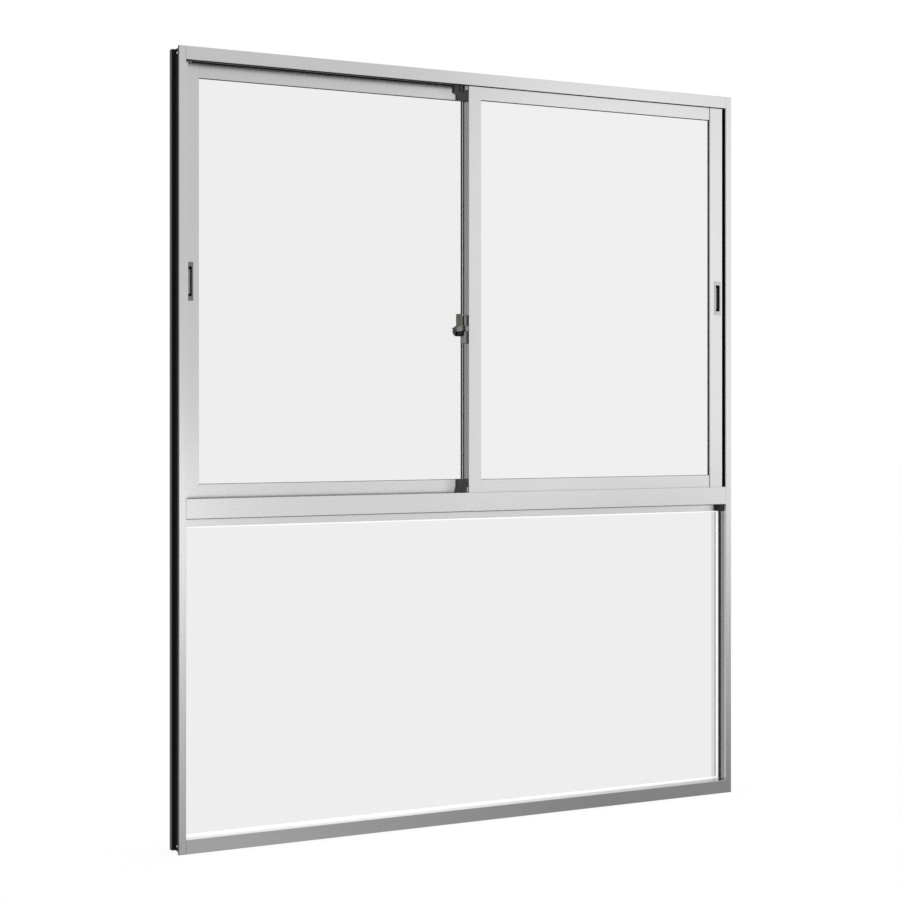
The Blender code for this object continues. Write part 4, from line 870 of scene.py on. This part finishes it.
def add_round(name, middle, radius, length, sides, material, chamfer):
    """A short round piece that lies along X, with its rims rounded."""
    deselect_all()
    bpy.ops.mesh.primitive_cylinder_add(
        vertices=sides, radius=radius, depth=length, location=middle,
        rotation=(0.0, math.radians(90.0), 0.0),
    )
    item = finish_piece(bpy.context.object, name, material)
    ease_edges(chamfer, 3)
    return item


def copy_of(item):
    """A selected copy of a finished piece, with a mesh of its own."""
    deselect_all()
    bpy.context.view_layer.objects.active = item
    item.select_set(True)
    bpy.ops.object.duplicate()
    return bpy.context.object


def mirror_copy(item, name):
    """The same piece at the window's other side, turned right side out again."""
    twin = copy_of(item)
    bpy.ops.transform.mirror(constraint_axis=(True, False, False))
    finish_piece(twin, name, item.data.materials[0])
    bpy.ops.object.mode_set(mode="EDIT")
    bpy.ops.mesh.select_all(action="SELECT")
    bpy.ops.mesh.normals_make_consistent(inside=False)
    bpy.ops.object.mode_set(mode="OBJECT")
    return twin


def lower_copy(item, name, drop):
    """The same piece further down."""
    twin = copy_of(item)
    bpy.ops.transform.translate(value=(0.0, 0.0, -drop))
    return finish_piece(twin, name, item.data.materials[0])


def make_floor():
    """A wide pale floor that keeps a soft shadow; to the metal it glows at painted levels that put
    shade on the window's lower parts.
    """
    deselect_all()
    bpy.ops.mesh.primitive_plane_add(size=60.0, location=(0.0, 0.0, FOOT - 0.5 * MILLIMETRE))
    floor = bpy.context.object
    floor.name = "studio_floor"
    made = bpy.data.materials.new("floor_paper")
    made.use_nodes = True
    tree = made.node_tree
    tree.nodes.clear()
    path = add_node(tree, "ShaderNodeLightPath").outputs
    across, back, _ = add_node(
        tree, "ShaderNodeSeparateXYZ", {"Vector": object_place(tree)},
    ).outputs
    # Painted reflection: the metal mirrors it at set levels, brighter to the left and in front,
    # and white behind the window
    sideways = spread(tree, across, -0.55, 0.4, 0.58, 0.35)
    forward = spread(tree, back, -2.0, -0.2, 0.3, 0.0)
    behind = spread(tree, back, 0.0, 0.03, 0.0, 1.0)
    painted_reflection = maths(tree, "MAXIMUM", maths(tree, "ADD", sideways, forward), behind)
    seen = maths(tree, "MAXIMUM", path["Is Camera Ray"], path["Is Transmission Ray"])
    unseen = inverse(tree, seen)
    to_eye = maths(tree, "MULTIPLY", seen, FLOOR_WHITE)
    level = maths(tree, "ADD", overlap(tree, unseen, painted_reflection), to_eye)
    share = maths(
        tree, "MAXIMUM", maths(tree, "MULTIPLY", seen, FLOOR_SHARE),
        overlap(tree, path["Is Glossy Ray"], unseen),
    )
    paper = add_node(tree, "ShaderNodeBsdfDiffuse", {"Color": (0.86, 0.86, 0.86, 1.0)})
    light = add_node(tree, "ShaderNodeEmission", {"Color": WHITE, "Strength": level})
    mixer = add_node(tree, "ShaderNodeMixShader")
    output = add_node(tree, "ShaderNodeOutputMaterial")
    for socket, value in (
        (mixer.inputs[0], share), (mixer.inputs[1], paper.outputs[0]),
        (mixer.inputs[2], light.outputs[0]), (output.inputs["Surface"], mixer.outputs[0]),
    ):
        plug(tree, socket, value)
    floor.data.materials.append(made)


def make_world(stage):
    """White surroundings for the eye, metal and glass, and a soft grey light on the rest."""
    world = bpy.data.worlds.new("studio_world")
    bpy.context.scene.world = world
    world.use_nodes = True
    tree = world.node_tree
    tree.nodes.clear()
    soft = add_node(tree, "ShaderNodeBackground", {"Color": WHITE, "Strength": stage.sky})
    white = add_node(tree, "ShaderNodeBackground", {"Color": WHITE, "Strength": 1.0})
    path = add_node(tree, "ShaderNodeLightPath").outputs
    seen = maths(tree, "MAXIMUM", path["Is Camera Ray"], path["Is Transmission Ray"])
    mixer = add_node(tree, "ShaderNodeMixShader")
    plug(tree, mixer.inputs[0], maths(tree, "MAXIMUM", seen, path["Is Glossy Ray"]))
    plug(tree, mixer.inputs[1], soft.outputs[0])
    plug(tree, mixer.inputs[2], white.outputs[0])
    output = add_node(tree, "ShaderNodeOutputWorld")
    plug(tree, output.inputs["Surface"], mixer.outputs[0])


def add_lamp(name, across, height, size, power):
    """An upright soft box that faces the window squarely, hidden behind clear glass."""
    lamp = bpy.data.lights.new(name, "AREA")
    lamp.shape = "RECTANGLE"
    lamp.size, lamp.size_y = size
    lamp.energy = power
    item = bpy.data.objects.new(name, lamp)
    bpy.context.scene.collection.objects.link(item)
    item.location = (across, LAMP_ROW, height)
    item.rotation_euler = (math.radians(90.0), 0.0, 0.0)
    item.visible_transmission = False
    return item


class WINDOW_OT_add_seals(Operator):
    """Add the head's strips and stop pad, the groove gaskets, a black corner block as painted
    shadow, and a cover strip
    """

    bl_idname = "window.add_seals"
    bl_label = "Add Seals"

    def execute(self, context):
        glazing = context.scene.window_glazing
        self.add_head_strips(glazing)
        self.add_groove_seals(glazing)
        self.add_cover_strip(glazing)
        self.add_stop_pad(glazing)
        return {"FINISHED"}

    def add_head_strips(self, glazing):
        """Pile behind the head's front lip, and a dark strip along its middle fin as painted
        shade.
        """
        mm = MILLIMETRE
        pile = moulded_material(
            "pile_and_shade_fibre", glazing.black_strip_and_shade_colour, 0.95, pitch=3000.0, mottle=0.3,
        )[0]
        reach = OPENING - CLEARANCE
        front = add_bar(
            "head_pile_strip", (-reach, ROOM_FACE + 2.3 * mm, HEAD_BOTTOM - 2.2 * mm),
            (reach, ROOM_FACE + 4.7 * mm, HEAD_BOTTOM + 6.0 * mm), pile,
        )
        # Painted shade: a dark strip stands in for the shaded middle fin
        middle = add_bar(
            "head_middle_strip", (-reach, MIDDLE_STRIP, HEAD_BOTTOM - 1.2 * mm),
            (reach, MIDDLE_STRIP + 2.5 * mm, TOP - 11.0 * mm), pile,
        )
        hide_in_metal(front, middle)

    def add_groove_seals(self, glazing):
        """Gasket and lip in the jambs' grooves by the fixed light, and a black block in its corner
        as painted shadow.
        """
        mm = MILLIMETRE
        black = moulded_material("strip_and_shadow_rubber", glazing.black_strip_and_shade_colour, 0.7, mottle=0.1)[0]
        foot = SILL_TOP + 2.0 * CLEARANCE
        head = LIP_BOTTOM - CLEARANCE
        gasket = add_bar(
            "right_groove_gasket", (OPENING + CLEARANCE, 22.8 * mm, foot),
            (OPENING + 3.2 * mm, 30.9 * mm, head), black,
        )
        mirror_copy(gasket, "left_groove_gasket")
        lip = add_bar(
            "right_groove_lip", (OPENING - 0.5 * mm, 20.5 * mm, foot),
            (OPENING - 0.05 * mm, 31.6 * mm, head), black, 0.1 * mm,
        )
        mirror_copy(lip, "left_groove_lip")
        # Painted shadow: a black block where the right jamb shades the lip's end
        pad = add_bar(
            "right_corner_shadow_block", (OPENING - 18.0 * mm, 1.5 * mm, LIP_BOTTOM + CLEARANCE),
            (OPENING - CLEARANCE, 28.9 * mm, TRANSOM_BOTTOM - CLEARANCE),
            black, 0.8 * mm,
        )
        hide_in_metal(pad)

    def add_cover_strip(self, glazing):
        """The pale strip that lines the right jamb beside the inner sash."""
        mm = MILLIMETRE
        pale = moulded_material("cover_strip_plastic", glazing.cover_colour, 0.4, mottle=0.04)[0]
        add_bar(
            "right_cover_strip",
            (OPENING - 1.6 * mm, ROOM_FACE + 0.8 * mm, TRANSOM_TOP + CLEARANCE),
            (OPENING, ROOM_FACE + 2.4 * mm, HEAD_BOTTOM - CLEARANCE), pale,
        )

    def add_stop_pad(self, glazing):
        """The beige pad at the head's left end, against the middle strip."""
        mm = MILLIMETRE
        beige = moulded_material("stop_pad_plastic", glazing.pad_colour, 0.6, mottle=0.2)[0]
        add_bar(
            "head_stop_pad",
            (-OPENING + 2.5 * mm, MIDDLE_STRIP - 4.0 * mm, HEAD_BOTTOM - 3.6 * mm),
            (-OPENING + 25.0 * mm, MIDDLE_STRIP, HEAD_BOTTOM + 7.0 * mm),
            beige, 1.2 * mm,
        )


class WINDOW_OT_add_fixings(Operator):
    """Add the shades behind the pulls, the guide pads, the lock's stop pin and the screws"""

    bl_idname = "window.add_fixings"
    bl_label = "Add Fixings"

    def execute(self, context):
        self.add_pull_shades(context.scene.window_glazing)
        self.add_guide_pads(context.scene.window_lock)
        self.add_stop_pin(context.scene.window_lock)
        self.add_channel_screws(context.scene.window_metals)
        return {"FINISHED"}

    def add_pull_shades(self, glazing):
        """A dark plate behind the slot of each finger pull."""
        mm = MILLIMETRE
        black = moulded_material("shade_plastic", glazing.black_strip_and_shade_colour, 0.8)[0]
        for name in PULLS:
            low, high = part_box(name)
            middle = (low[0] + high[0]) / 2.0
            add_bar(
                f"{name}_shade", (middle - 6.4 * mm, high[1] + 0.3 * mm, low[2] + 8.0 * mm),
                (middle + 6.4 * mm, high[1] + 1.1 * mm, high[2] - 8.0 * mm),
                black,
            )

    def add_guide_pads(self, lock):
        """The beige pads on the room side of the two draft blocks."""
        mm = MILLIMETRE
        beige = moulded_material("guide_pad_plastic", lock.pad_colour, 0.6, mottle=0.2)[0]
        for name, block, left, foot, top in (
            ("upper_guide_pad", BLOCKS[0], -29.5, HEAD_BOTTOM - 12.0 * mm, HEAD_BOTTOM - 0.5 * mm),
            ("lower_guide_pad", BLOCKS[1], -24.5, TRANSOM_TOP + 0.2 * mm, TRANSOM_TOP + 14.0 * mm),
        ):
            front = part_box(block)[0][1]
            add_bar(
                name, (left * mm, front - 1.8 * mm, foot),
                (-20.3 * mm, front - 0.1 * mm, top), beige, 0.5 * mm,
            )

    def add_stop_pin(self, lock):
        """The round stop that stands on the lock's housing, under the cam."""
        mm = MILLIMETRE
        steel = moulded_material("pin_steel", lock.black_and_shade_colour, 0.5, 0.3)[0]
        add_round(
            "cam_stop_pin", (-39.7 * mm, 12.0 * mm, PIVOT_HEIGHT - 12.6 * mm),
            5.0 * mm, 13.0 * mm, 40, steel, 0.8 * mm,
        )

    def add_channel_screws(self, metals):
        """A domed screw near each end of the jambs' webs, modelled once and copied."""
        mm = MILLIMETRE
        zinc = extrusion_material(
            "screw_zinc", metals.zinc_and_lit_pale_colour, metals, (500.0, 500.0, 500.0),
        )[0]
        top_left = add_round(
            "left_top_channel_screw",
            (LEFT_FACE + ANCHOR_WEB - 1.2 * mm, ROOM_FACE + 35.5 * mm, TOP - 12.0 * mm),
            2.7 * mm, 2.2 * mm, 32, zinc, 0.7 * mm,
        )
        mirror_copy(top_left, "right_top_channel_screw")
        foot_left = lower_copy(
            top_left, "left_foot_channel_screw", TOP - 25.5 * mm,
        )
        mirror_copy(foot_left, "right_foot_channel_screw")


class WINDOW_OT_set_stage(Operator):
    """Set the floor, the lamps and the camera of the studio"""

    bl_idname = "window.set_stage"
    bl_label = "Set Stage"

    def execute(self, context):
        stage = context.scene.window_stage
        make_floor()
        make_world(stage)
        add_lamp("key_softbox", 2.735, 1.727, (1.73, 2.146), stage.key_power)
        add_lamp("left_softbox", -0.25, 0.46, (1.1, 0.88), stage.left_power)
        add_lamp("level_strip", 1.375, 0.6, (1.85, 0.07), stage.strip_power)
        add_lamp("right_softbox", 3.9, 0.55, (1.0, 0.9), stage.right_power)
        camera = bpy.data.cameras.new("photo_camera")
        camera.lens = stage.focal_length
        camera.sensor_width = 36.0
        camera.shift_x = stage.slide
        camera.shift_y = stage.drop
        item = bpy.data.objects.new("photo_camera", camera)
        bpy.context.scene.collection.objects.link(item)
        item.location = stage.eye
        item.rotation_euler = (math.radians(90.0), 0.0, -stage.turn)
        context.scene.camera = item
        context.scene.view_settings.view_transform = "Standard"
        return {"FINISHED"}


STEPS = (
    WINDOW_OT_dress_extrusions,
    WINDOW_OT_dress_glazing,
    WINDOW_OT_dress_hardware,
    WINDOW_OT_add_seals,
    WINDOW_OT_add_fixings,
    WINDOW_OT_set_stage,
)
SETTINGS = (
    ("window_metals", WindowMetals),
    ("window_glazing", WindowGlazing),
    ("window_lock", WindowLock),
    ("window_stage", WindowStage),
)


class WINDOW_PT_finish(Panel):
    """Lists the window's finishing steps in order"""

    bl_label = "Combination Window"
    bl_idname = "WINDOW_PT_finish"
    bl_space_type = "VIEW_3D"
    bl_region_type = "UI"
    bl_category = "Window"

    def draw(self, context):
        for step in STEPS:
            self.layout.operator(step.bl_idname)
        for name, group in SETTINGS:
            box = self.layout.box()
            for prop in group.__annotations__:
                box.prop(getattr(context.scene, name), prop)


def register():
    """Register the settings, steps and panel."""
    for name, group in SETTINGS:
        bpy.utils.register_class(group)
        setattr(bpy.types.Scene, name, PointerProperty(type=group))
    for step in STEPS:
        bpy.utils.register_class(step)
    bpy.utils.register_class(WINDOW_PT_finish)


def unregister():
    """Take the panel, steps and settings away again."""
    bpy.utils.unregister_class(WINDOW_PT_finish)
    for step in reversed(STEPS):
        bpy.utils.unregister_class(step)
    for name, group in reversed(SETTINGS):
        delattr(bpy.types.Scene, name)
        bpy.utils.unregister_class(group)


def main():
    """Run every step."""
    register()
    bpy.ops.window.dress_extrusions()
    bpy.ops.window.dress_glazing()
    bpy.ops.window.dress_hardware()
    bpy.ops.window.add_seals()
    bpy.ops.window.add_fixings()
    bpy.ops.window.set_stage()


if __name__ == "__main__":
    main()
